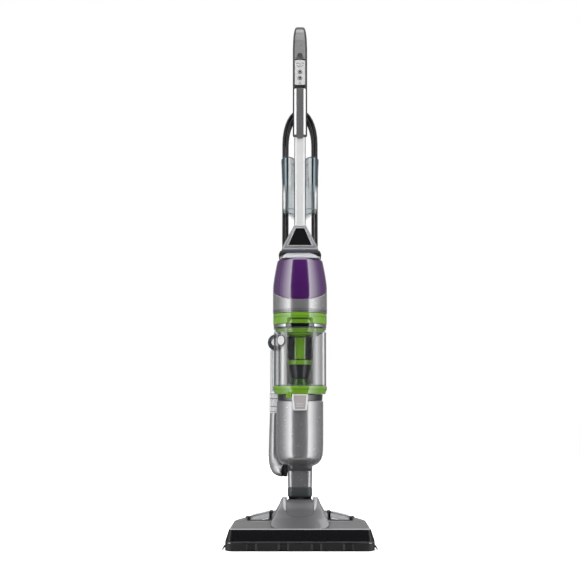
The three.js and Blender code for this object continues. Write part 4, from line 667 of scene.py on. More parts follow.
for z, half in ((YOKE_LOW, 40.4), (650, 39.4), (YOKE_TOP - 0.3, 13.3)):
    back = 12 - 6 * (z - YOKE_LOW) / (YOKE_TOP - YOKE_LOW)
    front = yoke_front(z) + 3.5
    sides_of_yoke.append([(x, y, z) for x, y in resample(rounded(-half, half, front, back, 3, 4), 80)])
loft("yoke_shell", sides_of_yoke, BODY, bevel=0.6)
badge = [(-25.6, 655.4), (25.6, 655.4), (9.6, 694), (-9.6, 694)]
loft("badge_plate", [[(x, yoke_front(z) + d, z) for x, z in badge] for d in (1.2, 3.4)], GLOSS, bevel=0.5)

pole_outline = resample(fillet([(-8.2, -27), (8.2, -27), (12.3, -24.4), (12.3, 3), (-12.3, 3),
    (-12.3, -24.4)], [1, 1, 1.5, 5, 5, 1.5], 4), 96)
upright_loft("pole", pole_outline, [(643.6, 1, 1), (956, 1, 1)], POLE)

for side, word in SIDES:
    edge = [(side * 11.4, -25.6), (side * 12.6, -24.4), (side * 12.6, -21), (side * 11.8, -21)]
    upright_loft(f"pole_edge_{word}", edge, [(702, 1, 1), (955, 1, 1)], DARK)

# ---------------------------------------------------------------- handle
SLEEVE_TOP = 1018.0
sleeve_outline = resample(fillet([(-7.6, -30), (7.6, -30), (12, -27.4), (16.3, -22), (16.3, 8), (-16.3, 8),
    (-16.3, -22), (-12, -27.4)], [0.5, 0.5, 1, 3, 5, 5, 3, 1], 4), 128)
upright_loft("handle_sleeve", sleeve_outline, [(909, 0.93, 0.93, 0.32), (910, 0.975, 0.975, 0.32),
    (913, 1, 1, 0.32), (1016.6, 1, 1), (1018, 0.98, 0.98)], CHARCOAL, centre=(0, -11), sharp=20)
for side, word in SIDES:
    edge = [(side * 8.3, -30.3), (side * 12.6, -27.5), (side * 12.2, -26.9), (side * 8.0, -29.4)]
    upright_loft(f"sleeve_stripe_{word}", edge, [(909, 1, 1), (1015.5, 1, 1)], SILVER)
prism("sleeve_tongue", fillet([(-7.9, 1016.5), (-7.9, 903), (-4, 900.4), (4, 900.4), (7.9, 903),
    (7.9, 1016.5)], 1.4, 3), "y", -30.7, -26.8, SLEEVE, bevel=0.5)
upright_loft("handle_band", resample(rounded(-15.6, 15.6, -30.3, 9, 6, 5), 80),
    [(1016.0, 0.99, 0.99), (1017.0, 1, 1), (1022.4, 1, 1), (1023.4, 0.99, 0.99)], BLACK, centre=(0, -10))


def bezier(p0, p1, p2, p3, count):
    made = []
    for k in range(count):
        t = k / count
        u = 1 - t
        made.append(tuple(u**3 * a + 3 * u * u * t * b + 3 * u * t * t * c + t**3 * d for a, b, c,
            d in zip(p0, p1, p2, p3)))
    return made


def lifted(points):
    return [(y, SLEEVE_TOP + up) for y, up in points]


loop_outer = lifted([(-30, 0.4)] + [(-30, 56), (-30, 112)] + bezier((-30, 112), (-30, 142), (-22, 150),
    (6, 150), 14) + bezier((6, 150), (38, 150), (58, 128), (62, 98), 16)
    + bezier((62, 98), (66, 70), (44, 24), (26, 12), 16) + bezier((26, 12), (18, 6), (12, 4), (8, 0.4), 6)
    + [(8, 0.4)])
loop_inner = lifted([(-3, 40), (-3, 74)] + bezier((-3, 108), (-2, 124), (6, 128), (14, 127), 10)
    + bezier((14, 127), (28, 125), (37, 112), (38.5, 96), 10) + bezier((38.5, 96), (40, 76), (26, 44),
    (16, 34), 12) + bezier((16, 34), (8, 27), (-3, 28), (-3, 40), 8))
LOOP_CENTRE = (14, SLEEVE_TOP + 82)


def ray_hit(outline, angle):
    """Where a ray from the loop's centre meets an outline."""
    cy, cz = LOOP_CENTRE
    dy, dz = cos(angle), sin(angle)
    best = None
    for (y0, z0), (y1, z1) in zip(outline, outline[1:] + outline[:1]):
        ey, ez = y1 - y0, z1 - z0
        cross = dy * ez - dz * ey
        if abs(cross) < 1e-9:
            continue
        t = ((y0 - cy) * ez - (z0 - cz) * ey) / cross
        s = ((y0 - cy) * dz - (z0 - cz) * dy) / cross
        if t > 0 and -1e-6 <= s <= 1 + 1e-6 and (best is None or t > best):
            best = t
    return (cy + dy * best, cz + dz * best)


def grip_half(z):
    """Half the handle's width at a height."""
    widths = [(1018, 16.3), (1112, 16.3), (1136, 15.2), (1150.5, 13.5), (1160.5, 11.6), (1165.5, 9.9),
        (1168, 8.0)]
    return interpolate(widths, z)


# The section across the loop: share of the half width, which wall, and inset from it.
GRIP_SECTION = [(-0.7, 0, 0), (0.7, 0, 0), (0.74, 0, 0.2), (0.9, 0, 1.2), (0.98, 0, 3.2), (1, 0, 6)]
GRIP_SECTION += [(1, 1, 6), (0.96, 1, 3), (0.8, 1, 0.9), (0.6, 1, 0)]
GRIP_SECTION += [(-0.6, 1, 0), (-0.8, 1, 0.9), (-0.96, 1, 3), (-1, 1, 6)]
GRIP_SECTION += [(-1, 0, 6), (-0.98, 0, 3.2), (-0.9, 0, 1.2), (-0.74, 0, 0.2)]
COVER_RECESS = 2.9  # how far the front is sunk for the cover and the panel
grip_rings = []
for k in range(144):
    angle = 2 * pi * k / 144
    out_y, out_z = ray_hit(loop_outer, angle)
    in_y, in_z = ray_hit(loop_inner, angle)
    span = hypot(out_y - in_y, out_z - in_z)
    ring = []
    for share, wall, inset in GRIP_SECTION:
        if wall == 0 and abs(share) < 0.72 and out_y < -20 and 1024 < out_z < 1156:
            inset += COVER_RECESS
        inset = min(inset, span * 0.4)
        f = inset / span if wall == 0 else 1 - inset / span
        y = out_y + (in_y - out_y) * f
        z = out_z + (in_z - out_z) * f
        ring.append((share * grip_half(z), y, z))
    grip_rings.append(ring)
loft("handle_grip", grip_rings, CHARCOAL, wrap=True, sharp=40)


def loop_front(z):
    """How far forward the handle's front is at a height."""
    line = [(1018, -30), (1130, -30), (1148.6, -28.3), (1155, -25.6), (1160.2, -22.5), (1164.5, -16),
        (1168, 6)]
    return interpolate(line, z)


def front_skin(name, low, high, thick, half_at, material, stands_for, crown=0.5, arch=0.0):
    """A plate on the handle's front, a little crowned, whose lower and upper edges may arch."""
    rows, columns = 40, 12
    points, faces = [], []
    for back in (0, 1):
        for i in range(rows + 1):
            for k in range(columns + 1):
                u = 2 * k / columns - 1
                t = i / rows
                z = low + (high - low) * t + arch * (1 - u * u)
                x = u * half_at(min(z, 1167.4))
                edge = crown * (1 - abs(u) ** 3)
                y = loop_front(z) - edge + 0.25 + back * thick
                points.append((x, y, z))
    stride = columns + 1
    plane = stride * (rows + 1)
    for i in range(rows):
        for k in range(columns):
            a = i * stride + k
            faces.append((a, a + 1, a + stride + 1, a + stride))
            faces.append((plane + a, plane + a + stride, plane + a + stride + 1, plane + a + 1))
    border = [k for k in range(columns)]
    border += [i * stride + columns for i in range(rows)]
    border += [rows * stride + k for k in range(columns, 0, -1)]
    border += [i * stride for i in range(rows, 0, -1)]
    for a, b in zip(border, border[1:] + border[:1]):
        faces.append((a, b, plane + b, plane + a))
    return piece(name, points, faces, material, "upright", stands_for, sharp=40)


front_skin("handle_cover", 1083.0, 1154.6, 2.2, lambda z: max(2, grip_half(z) - 4.3), COVER,
    ["handle_cover"], arch=1.6)
control_panel = front_skin("control_panel", 1023.2, 1081.2, 2.2, lambda z: 11.7, PANEL, ["control_panel"],
    crown=0.3, arch=1.2)
arc_points = [(x, -30.5, 1082.9 + 1.6 * (1 - (x / 12) ** 2)) for x in range(-12, 13, 2)]
tube("panel_arc", arc_points, 0.75, BLACK)
for i in range(7):
    z = 1086.4 + i * 1.7
    half = 8.2 - i * 0.45
    tube(f"grip_rib_{i}", [(-half, -30.3, z), (0, -30.75, z + 0.9), (half, -30.3, z)], 0.42, CHARCOAL)
for index, (x, z, angle) in enumerate([(-5.5, 1072.5, 0.5), (-5.5, 1066.5, -0.5), (5.8, 1073, -0.4),
        (5.8, 1067, 0.6)]):
    arc = [(x + 2.6 * cos(angle + a), -30.15, z + 2.2 * sin(angle + a))
        for a in [i * 0.75 for i in range(5)]]
    tube(f"panel_mark_{index}", arc, 0.42, DARK)
tube("panel_mark_centre", [(0, -30.15, 1075.5), (0, -30.15, 1065)], 0.4, DARK)
tube("status_light", [(-2.2, -30.2, 1028), (2.2, -30.2, 1028)], 0.6, DARK)
for name, z in (("vacuum_button", 1056.5), ("steam_button", 1042.5)):
    cap = lathe(name + "_cap", [(0, 0), (3.2, 0), (3.7, 0.5), (3.7, 5.4), (0, 5.4)], PALE_GREY_AND_HIGHLIGHT, name, [name],
        sides=40)
    z -= 2.2
    place_at(cap, 0, -31.2, z, *TO_BACK)
    bezel = lathe(name + "_bezel", [(3.95, 0), (4.9, 0), (5.1, 0.7), (3.95, 0.7), (3.95, 0)], COVER,
        sides=40)
    place_at(bezel, 0, -30.75, z, *TO_BACK)
    hole = [(3.95 * cos(k * 0.157), z + 3.95 * sin(k * 0.157)) for k in range(40)]
    carve(control_panel, cutter(name + "_hole", hole, "y", -33, -26, "upright"))
    diamond = [(-2.7, z), (0, z + 3.1), (2.7, z), (0, z - 3.1)]
    prism(name + "_mark", diamond, "y", -31.5, -30.9, BLACK, name, bevel=0.1)

# ---------------------------------------------------------------- water tank
TANK_LOW, TANK_TOP = 724.6, 862.4
half_tank = fillet([(13.6, 6), (13.6, -7.5), (20, -12), (32, -11.5), (41.5, -4), (43.3, 6), (43.3, 50),
    (0, 50)], [3, 4, 6, 8, 8, 8, 14, 0], 6, False)
tank_half_outline = resample(half_tank, 60, False)
tank_outline = tank_half_outline + [(-x, y) for x, y in tank_half_outline[::-1]][1:]


def tank_share(z):
    return interpolate([(724, 0.872), (742, 0.885), (780, 0.905), (815, 0.955), (862.4, 1)], z)


def tank_ring(z, inset=0.0, share=None, floor=None):
    made = []
    s = share if share is not None else tank_share(z)
    for x, y in tank_outline:
        rise = 0 if floor is None else floor * smoothstep(12, 40, abs(x))
        px = x * s
        if abs(x) > 14:
            px -= copysign(inset, x)
        else:
            px += copysign(min(inset, 1.4), x) if abs(x) > 13 else 0
        lowest, highest = -12, 50
        py = 24 + (y - 24) * (0.96 + 0.04 * s)
        py += inset * (1 - 2 * smoothstep(lowest, highest, y))
        hump = 4 * smoothstep(24, 14, abs(x)) + 3.5 * smoothstep(35, 44, abs(x))
        made.append((px, py, z + rise - hump * smoothstep(840, 862, z)))
    return made


def tank_shell(name, inset, material, stands_for=()):
    rings = [tank_ring(TANK_LOW + 1.5 + inset, inset + 8, 0.8, 9), tank_ring(TANK_LOW + inset, inset + 3,
        None, 14)]
    rings.append(tank_ring(TANK_LOW + 3 + inset, inset, None, 14))
    for i in range(16):
        z = TANK_LOW + 20 + (TANK_TOP - TANK_LOW - 24) * i / 15
        rings.append(tank_ring(z, inset))
    rings.append(tank_ring(TANK_TOP - 1.2 - inset, inset + 1))
    rings.append(tank_ring(TANK_TOP - inset, inset + 4))
    return loft(name, rings, material, "water_tank", stands_for, sharp=50)


# The tank's outer wall carries the painted reflections.
tank_shell("water_tank", 0, TANK_PAINTED_REFLECTIONS)
tank_shell("tank_inner_wall", 2.4, TANK)
for name, z, inset in (("tank_top_rim", 860.4, -0.5), ("tank_bottom_seam", 741.5, -0.3)):
    line = tank_ring(z, inset)
    loft(name, [line, tank_ring(z + 1.6, inset), tank_ring(z + 1.6, inset + 1.6),
        tank_ring(z, inset + 1.6)], TANK_EDGE, "water_tank", wrap=True)
lathe("tank_cap", [(0, 712.3), (8.6, 712.3), (9.2, 713), (9.2, 723.6), (6, 724.2), (6, 729), (0, 729)],
    DARK, "tank_cap", ["tank_cap"], (0, 24), 64)
CAP_RIBS = 20
for i in range(CAP_RIBS):
    a = 2 * pi * i / CAP_RIBS
    x, y = 9.15 * cos(a), 24 + 9.15 * sin(a)
    tube(f"tank_cap_rib_{i}", [(x, y, 713.5), (x, y, 723)], 0.35, DARK, "tank_cap", smooth=False)
dock_outline = resample(fillet([(-12.2, 3.6), (12.2, 3.6), (12.2, 30), (6, 36), (-6, 36), (-12.2, 30)],
    [1, 1, 8, 6, 6, 8], 5), 72)
dock_hole = [(9.7 * cos(a), 24 + 9.7 * sin(a)) for a in [pi * 2 * (k / 72) - 2.2 for k in range(72)]]
loft("tank_dock", [[(x, y, 702.8) for x, y in dock_outline], [(x, y, 723.8) for x, y in dock_outline],
    [(x, y, 723.8) for x, y in dock_hole], [(x, y, 711.6) for x, y in dock_hole]], DARK, sharp=30)

# ---------------------------------------------------------------- dirt cup
PORT_X, PORT_Z = -54.0, 444.0
lathe("cup_wall", [(58.2, 344.8), (58.3, 472.9)], CUP_PAINTED_REFLECTIONS, "dirt_cup", sides=160)
for name, z in (("cup_lower_rim", 345.6), ("cup_upper_rim", 470.6)):
    lathe(name, square_ring(55.6, 58.6, z, z + 1.6), CLEAR_EDGE, "dirt_cup", sides=128)
port = lathe("cup_port", [(10.4, -14), (12.8, -14), (12.8, 37.6), (18.6, 37.8), (18.8, 38.4), (18.8, 40.8),
    (10.4, 41), (10.4, -14)], CLEAR_EDGE, "dirt_cup", sides=72)
place_at(port, PORT_X, 0, PORT_Z, *TO_BACK)
flange_ring = [(13, 38), (18.4, 37.9), (18.9, 38.4), (18.9, 40.6), (18.4, 41), (13, 41), (13, 38)]
port_flange = lathe("cup_port_flange", flange_ring, BLACK, "dirt_cup", sides=72)
place_at(port_flange, PORT_X, 0, PORT_Z, *TO_BACK)
port_end = lathe("cup_port_end", [(0, 0), (9.8, 0), (10.2, 0.6), (10.2, 1.4), (0, 1.4)], PANEL, "dirt_cup",
    sides=48)
port_ring = lathe("cup_port_ring", square_ring(10.2, 11.8, 0, 1.2), DARK, "dirt_cup", sides=48)
PORT_FACE = radians(-44)
for made in (port_end, port_ring):
    place_at(made, about="X", angle=pi / 2)
    place_at(made, 58.6 * sin(PORT_FACE), -58.6 * cos(PORT_FACE), PORT_Z, "Z", PORT_FACE)
lathe("cup_gasket", [(53.4, 473.5), (58.5, 473.5), (58.9, 474.4), (58.7, 480.2), (53.4, 480.3),
    (53.4, 473.5)], GLOSS, "dirt_cup", sides=128)
for side, word in SIDES:
    a0 = -pi / 2 + side * radians(56)
    outline = [(59.3 * cos(a0 + i * 0.06), 59.3 * sin(a0 + i * 0.06)) for i in range(-7, 8)]
    outline += [(58.2 * cos(a0 + i * 0.06), 58.2 * sin(a0 + i * 0.06)) for i in range(7, -8, -1)]
    upright_loft(f"gasket_trim_{word}", outline, [(474, 1, 1), (480, 1, 1)], CHROME, "dirt_cup")


def collar_radius(a, z):
    x = 59.8 * cos(a)
    recess = 0.0
    if sin(a) < 0:
        depth = smoothstep(26.5, 24.5, abs(x)) * smoothstep(494.5, 492.3, z + abs(x) * 0.02)
        recess = 5.5 * depth * (0.45 + 0.55 * smoothstep(493, 483, z))
    return 59.8 - recess - 0.5 * smoothstep(503.6, 504.8, z)


ring_wall("cup_collar", collar_radius, lambda a: 481, lambda a: 504.6, 9.0, GREEN, "dirt_cup", levels=36)
recess_turns = [radians(-90 + d) for d in range(-22, 23, 2)]
recess_line = [(56.4 * cos(a), 56.4 * sin(a), 491.6) for a in recess_turns]
tube("collar_recess_shade", recess_line, 2.3, DEEP_GREEN, "dirt_cup")
lathe("cup_collar_line", square_ring(58.6, 60.15, 496.4, 497.0), DEEP_GREEN, "dirt_cup", sides=128)
lathe("cyclone_cap", [(0, 472.4), (55, 472.4), (55.3, 471.8), (55.3, 466), (53, 465.6), (52, 462.4),
    (44, 459.4), (43, 457.4), (31, 452.8), (29, 452.6), (0, 452.6)], GREEN, "dirt_cup")
cone_profile = [(0, 451.9), (26.9, 451.9), (26.9, 447), (25.9, 402.2), (23, 402.1), (23, 391.2), (25, 391),
    (24.4, 386), (19.1, 361), (0, 361)]
lathe("cyclone_cone", cone_profile, CONE, "dirt_cup")
lathe("cyclone_skirt", [(19.2, 361), (25.4, 388), (25.4, 390.8), (24.4, 390.8), (18.4, 361), (19.2, 361)],
    CONE, "dirt_cup")
SCREEN_BARS = 26
for i in range(SCREEN_BARS):
    a = 2 * pi * i / SCREEN_BARS
    x, y = cos(a), sin(a)
    tube(f"screen_bar_{i}", [(27.2 * x, 27.2 * y, 405), (27.6 * x, 27.6 * y, 449)], 0.75, SCREEN,
        "dirt_cup", smooth=False)
for i in range(5):
    z = 407 + i * 10
    lathe(f"screen_hoop_{i}", square_ring(26.6, 27.9, z, z + 1.2), SCREEN, "dirt_cup")
front_band = [(28.6 * cos(a), 28.6 * sin(a)) for a in [radians(-90 + d) for d in range(-24, 25, 3)]]
front_band += [(27.0 * cos(a), 27.0 * sin(a)) for a in [radians(-90 - d) for d in range(-24, 25, 3)]]
upright_loft("cyclone_front_band", front_band, [(404, 1, 1), (451, 1, 1)], GREEN, "dirt_cup", bevel=0.4)
lathe("cyclone_ring", [(23.2, 391.6), (28.1, 391.6), (28.5, 392.2), (28.5, 400.9), (28.1, 401.5),
    (23.2, 401.5), (23.2, 391.6)], GREEN, "dirt_cup", round_by=0.4)
lathe("bottom_door", [(0, 327.2), (55.6, 327.2), (56.2, 327.6), (59.5, 336.6), (59.8, 337.6), (59.8, 343.6),
    (59.3, 344.2), (52, 344.2), (51, 339), (0, 339)], GREEN, "dirt_cup", sides=128)
stand = [(0, 360.2), (19, 360.2), (19.6, 358), (21.5, 350.6), (21.5, 338.8), (0, 338.8)]
lathe("cup_stand", stand, DEEP_GREEN, "dirt_cup", sides=72)
block("door_tab", (-29.8, -19), (-56.2, -52.4), (318.4, 329), GREEN, "dirt_cup", bevel=0.8)
lathe("door_line", square_ring(58.8, 60.0, 337.2, 337.9), DEEP_GREEN, "dirt_cup", sides=128)

# ---------------------------------------------------------------- suction duct on the left
duct_path = [(-54.4, 58, 285.2), (-54.8, 58, 262), (-55.2, 58, 236), (-55.4, 58, 212)]
duct_path += bezier((-55.4, 58, 200), (-56, 57, 172), (-53, 38, 157.8), (-37.6, 34, 157.8), 12)[1:]
duct_path.append((-37.6, 34, 157.8))
duct_radii = [interpolate([(0, 0.98), (2, 1.04), (5, 1.11), (11, 1.1), (15, 0.95)], i)
    for i in range(len(duct_path))]
tube("side_duct", duct_path, 13.9, BODY, radii=duct_radii)
lathe("duct_top_ring", square_ring(11.4, 14.2, 279, 285.4), BODY, at=RISER, round_by=0.6)
cuff = [(12.9, 286.2), (15, 286.2), (15.2, 298), (14.2, 299), (14.2, 300), (15.2, 301), (15.2, 316),
    (14.2, 317)]
cuff += [(14.2, 318), (15.2, 319), (15, 329.8), (12.9, 329.8), (12.9, 286.2)]
lathe("riser_cuff", cuff, CLEAR, at=RISER)
for i, z in enumerate((299, 317, 287, 328.6)):
    lathe(f"cuff_ring_{i}", square_ring(12.6, 14.7, z, z + 1.2), DARK, at=RISER)
riser_path = [(-54, 58, 330.8), (-54, 58, 380), (-54, 58, 432), (-54, 56.6, 441), (-54, 52, 444),
    (-54, 46, 444)]
tube("riser_tube", riser_path, 12.6, CLEAR)
# Pale strips on the clear riser's front: painted highlights standing in for reflections of the softboxes.
for i, (x, r) in enumerate(((-62, 1.3), (-56.6, 0.9), (-46.4, 1.3))):
    y = 58 - sqrt(max(1, 12.2**2 - (x + 54) ** 2))
    tube(f"riser_painted_highlight_{i}", [(x, y, 334), (x, y, 430)], r, HOSE_CLEAR_AND_HIGHLIGHT)
# Dark lines along the clear riser's sides: painted shade of the tube's walls seen edge-on.
for tag, x in (("left", -66.3), ("right", -41.9)):
    tube(f"riser_edge_shade_{tag}", [(x, 57, 331), (x, 57, 428)], 0.7, DARK)
flange = lathe("riser_flange", square_ring(12.6, 16.8, 0, 2.4), CLEAR_EDGE)
place_at(flange, -54, 45.3, 444, *TO_BACK)

# ---------------------------------------------------------------- lower body
SPINE_HALF = 37.5
body_outline = []
turn_from = acos(SPINE_HALF / 51.5)
for k in range(97):
    a = turn_from - (pi + 2 * turn_from) * k / 96
    body_outline.append((51.5 * cos(a), 51.5 * sin(a)))
body_outline += fillet([(-37.5, 34.2), (-37.5, 60.6), (37.5, 60.6), (37.5, 34.2)], [0, 6, 6, 0], 5,
    False)[1:-1]
TAPER = [(169.2, 0.56), (172, 0.68), (175.5, 0.785), (180, 0.865), (185, 0.925), (190, 0.955), (194, 0.97)]
TAPER += [(204, 0.988), (218, 0.996), (249, 1), (311.4, 1)]
front_outline = [(x, y) for x, y in body_outline if y < 10]
front_outline = [(51.2, 9.6)] + front_outline + [(-51.2, 9.6)]


def split_z(y):
    return 189.5 + 0.2 * y


def tapered(outline, z_at, inset=0.0):
    made = []
    for x, y in outline:
        s = 1.0
        for _ in range(4):
            z = z_at(26 + (y - 26) * s)
            s = interpolate(TAPER, z)
        length = hypot(x, y)
        made.append(((x - x / length * inset) * s, 26 + (y - y / length * inset - 26) * s, z))
    return made


front_rings = [tapered(front_outline, split_z, 2.6), tapered(front_outline, split_z, 0.5)]
for i in range(28):
    t = (i / 27) ** 1.6
    front_rings.append(tapered(front_outline, lambda y, t=t: split_z(y) + 0.6 + (310.4 - split_z(y)) * t))
front_rings.append(tapered(front_outline, lambda y: 311.5, 0.6))
front_rings.append(tapered(front_outline, lambda y: 311.5, 3))
loft("lower_front_shell", front_rings, BODY, sharp=40)
base_rings = []
for i in range(14):
    t = i / 13
    base_rings.append(tapered(body_outline, lambda y, t=t: 169.2 + (split_z(y) - 0.4 - 169.2) * t))
base_rings.append(tapered(body_outline, lambda y: split_z(y) - 0.1, 0.6))
base_rings.append(tapered(body_outline, lambda y: split_z(y), 3))
for i in range(1, 10):
    t = i / 9
    base_rings.append([(x - (x / hypot(x, y) * 2.4 if y < 10 else 0),
        y - (y / hypot(x, y) * 2.4 if y < 10 else 0), z) for x, y, z in tapered(body_outline, lambda y,
        t=t: split_z(y) + 1 + (310.4 - split_z(y)) * t)])
loft("lower_rear_shell", base_rings, BODY, sharp=40)
neck_outline = resample(rounded(-27.3, 27.3, 12, 56, 14, 8), 112)
neck_levels = [(121.9, 0.955, 0.955), (122.6, 0.975, 0.975), (124, 0.98, 0.98), (150, 1, 1),
    (185.8, 1.02, 1.02)]
upright_loft("neck", neck_outline, neck_levels, BODY, centre=PIVOT)
CUFF_FRONT = [(158, 11.6), (163, 6), (166, -6), (169, -19.5), (172, -29), (176, -37.8), (180, -43.4),
    (184, -46.8), (187, -48.6)]
CUFF_FRONT += [(188, -48)]
cuff_rings = []
for z, front in CUFF_FRONT:
    ease = smoothstep(158, 176, z)
    cuff_rings.append([(x * (1 + 0.03 * ease), 56 - (56 - y) * (56 - front) / 44, z) for x,
        y in neck_outline])
loft("neck_cuff", cuff_rings, FOOT)
collar_levels = [(102.2, 0.96, 0.96), (103, 0.99, 0.99), (104.4, 1, 1), (108.6, 1, 1), (109, 0.978, 0.978),
    (109.8, 0.978, 0.978)]
collar_levels += [(110.2, 1, 1), (119.4, 0.99, 0.99), (120.6, 0.975, 0.975), (121.3, 0.95, 0.95)]
upright_loft("swivel_collar", neck_outline, collar_levels, COLLAR, centre=PIVOT)

deck_outline = resample([(x * 0.98, y * 0.98) for x, y in body_outline], 160)
upright_loft("deck", deck_outline, [(312, 0.96, 0.96), (312.5, 0.98, 0.98), (325.2, 1, 1),
    (326.5, 0.985, 0.985)], GLOSS, centre=(0, 10))
LATCH_LOW, LATCH_TOP = 291.3, 326.4


def latch_ring(inset, y):
    outline = [(-14.9, LATCH_LOW), (14.9, LATCH_LOW), (17.5, 318), (17.5, LATCH_TOP), (-17.5, LATCH_TOP),
        (-17.5, 318)]
    middle = (LATCH_LOW + LATCH_TOP) / 2
    made = []
    for x, z in resample(fillet(outline, [3, 3, 4, 2, 2, 4], 5), 96):
        share = 1 - inset / 17.5
        bow = 0.0045 * x * x
        made.append((x * share, y + bow, middle + (z - middle) * share))
    return made


latch_frame = [latch_ring(0, -52.2), latch_ring(0, -56), latch_ring(1, -57.1), latch_ring(2.2, -57.3),
    latch_ring(3, -56.4)]
loft("cup_latch", latch_frame + [latch_ring(3.2, -52.4)], LATCH_EDGE, "cup_latch", wrap=True)
loft("latch_plate", [latch_ring(3.1, -53), latch_ring(3.1, -56), latch_ring(4, -56.5)], LATCH, "cup_latch")
for i in range(3):
    z = 300 + i * 3.4
    tube(f"latch_grip_{i}", [(-8, -56.1, z), (0, -56.7, z), (8, -56.1, z)], 0.5, LATCH_EDGE, "cup_latch")
for side, word in SIDES:
    rail = [(side * 12.8, -55.9, 294.2), (side * 15.0, -55.4, 317), (side * 15.0, -55.4, 325)]
    tube(f"latch_rail_{word}", rail, 2.2, LATCH_EDGE, "cup_latch")

# ---------------------------------------------------------------- spine
spine_outline = resample(rounded(-37.4, 37.4, 61.1, 76.9, 5, 5), 96)
upright_loft("rear_spine", spine_outline, [(190.2, 0.95, 0.9), (192, 0.99, 0.98), (194, 1, 1), (586, 1, 1),
    (588, 0.99, 0.97), (589.8, 0.94, 0.86)], BODY, centre=(0, 69))
for i in range(7):
    z = 506 + i * 10
    outline = rounded(-24, 24, z, z + 4, 1.9, 4)
    prism(f"exhaust_slot_{i}", outline, "y", 76.2, 77.3, GLOSS, bevel=0.2)
for i, (x, z) in enumerate(((-27, 204), (27, 204), (-27, 480), (27, 480))):
    screw_head(f"spine_screw_{i}", x, 76.4, z, 3.4, "upright")

# ---------------------------------------------------------------- foot
FOOT_HALF, FOOT_FRONT = 157.0, -112.0
FRONT_WRAP_Y = -72.0  # how far back the front strips reach
STRIP_CENTRE_Y = 70  # the strips' points are sorted by their angle about this place
SIDE_LINE = fillet([(-112, 18.4), (-103, 44.3), (-42, 54), (-5, 75), (22, 75), (52, 50), (78, 32)],
    [0, 5, 26, 16, 18, 14, 0], 6, False)
FRONT_LINE = fillet([(0, 76), (61, 73), (114, 59), (142.5, 53), (147.9, 44.3), (157, 18.4)],
    [0, 20, 20, 9, 8, 0], 6, False)
HOOD_SIDE = fillet([(-100, 44.4), (-60, 62), (-32, 79), (-18, 93), (-9, 99.5), (4, 101.3), (34, 101.2),
    (56, 95), (71, 78), (74, 40)], [0, 60, 60, 12, 8, 8, 12, 12, 8, 0], 8, False)
HOOD_FRONT = fillet([(0, 101.6), (39, 101), (42, 95), (46, 84), (53, 71), (61, 58), (64, 40)],
    [0, 2.5, 4, 10, 10, 6, 0], 6, False)


def plan_outline(inset):
    """The foot's outline from above: corner, side, shoulder curve and back."""
    right = fillet([(0, FOOT_FRONT), (FOOT_HALF, FOOT_FRONT), (FOOT_HALF, -50)], [0, 18, 0], 10, False)
    right += bezier((FOOT_HALF, -50), (FOOT_HALF, 0), (119, 16), (92, 30), 24) + [(92, 30), (71, 70)]
    right += bezier((71, 70), (70, 76), (66, 78), (60, 78), 5) + [(60, 78), (0, 78)]
    full = right + [(-x, y) for x, y in right[::-1][1:-1]]
    made = []
    for i, (x, y) in enumerate(full):
        before, after = Vector(full[i - 1]), Vector(full[(i + 1) % len(full)])
        along = (after - before).normalized()
        made.append((x - along.y * inset, y + along.x * inset))
    return made


def soft_min(a, b, width):
    h = max(0.0, width - abs(a - b)) / width
    return min(a, b) - h * h * width / 4


# The front corners turn about (139, -94): height by how far in from the edge.
CORNER_X, CORNER_Y, CORNER_R = 139, -94, 18
CORNER_LINE = [(0.3, 18.4), (9.3, 44.3), (14, 50), (18, 56)]


def cover_height(x, y):
    height = soft_min(interpolate(SIDE_LINE, y), interpolate(FRONT_LINE, abs(x)), 7)
    if abs(x) > CORNER_X and y < CORNER_Y:
        inset = CORNER_R - hypot(abs(x) - CORNER_X, y - CORNER_Y)
        height = min(height, interpolate(CORNER_LINE, inset))
    return height


def dome(name, outline, height, base, rows, material, stands_for=()):
    """A closed skin from an outline's wall up over a height field, by shrinking the outline."""
    centre = Vector((0, -16))
    rings = [[(x, y, base) for x, y in outline]]
    for i in range(rows):
        share = 1 - (i / (rows - 1)) ** 1.15 * 0.985
        ring = []
        for x, y in outline:
            px, py = centre.x + (x - centre.x) * share, centre.y + (y - centre.y) * share
            ring.append((px, py, max(base + 0.2, height(px, py))))
        rings.append(ring)
    return loft(name, rings, material, "foot", stands_for, sharp=44)


cover_outline = resample(plan_outline(0.3), 240)
foot_cover = dome("foot_cover", cover_outline, cover_height, 18.0, 60, FOOT)
PEDAL_IN, PEDAL_OUT, PEDAL_FRONT, PEDAL_BACK, PEDAL_X = 60.8, 114.2, -37.5, -2.2, 87
PEDAL_FALL = (57 - 69) / 51.0  # the pedals drop outwards
for side, word in SIDES:
    xs = sorted((side * PEDAL_IN, side * PEDAL_OUT))
    outline = rounded(xs[0], xs[1], PEDAL_FRONT, PEDAL_BACK, 5, 5)
    carve(foot_cover, cutter(f"pedal_window_{word}", outline, "z", 24, 130))
    frame_line = [(x, y, cover_height(x, y) + 0.2) for x, y in resample(outline, 80)]
    tube(f"{word}_window_frame", frame_line + frame_line[:1], 1.1, BLACK, "foot", smooth=False)
hood_plan = fillet([(-62, -98), (62, -98), (61, 60), (50, 72), (-50, 72), (-61, 60)],
    [24, 24, 6, 10, 10, 6], 8)


def hood_height(x, y):
    return soft_min(interpolate(HOOD_SIDE, y), interpolate(HOOD_FRONT, abs(x)), 5)


hood = dome("foot_hood", resample(hood_plan, 200), hood_height, 40.0, 64, FOOT)
throat = [(-29.2, 120), (-29.2, 66), (-22, 55), (-12, 50), (12, 50), (22, 55), (29.2, 66), (29.2, 120)]
carve(hood, cutter("barrel_slot", fillet(throat, [0, 12, 10, 8, 8, 10, 12, 0], 6), "y", -11, 90))
carve(foot_cover, cutter("barrel_well", rounded(-29.2, 29.2, -10.5, 76, 4, 4), "z", 26, 130))
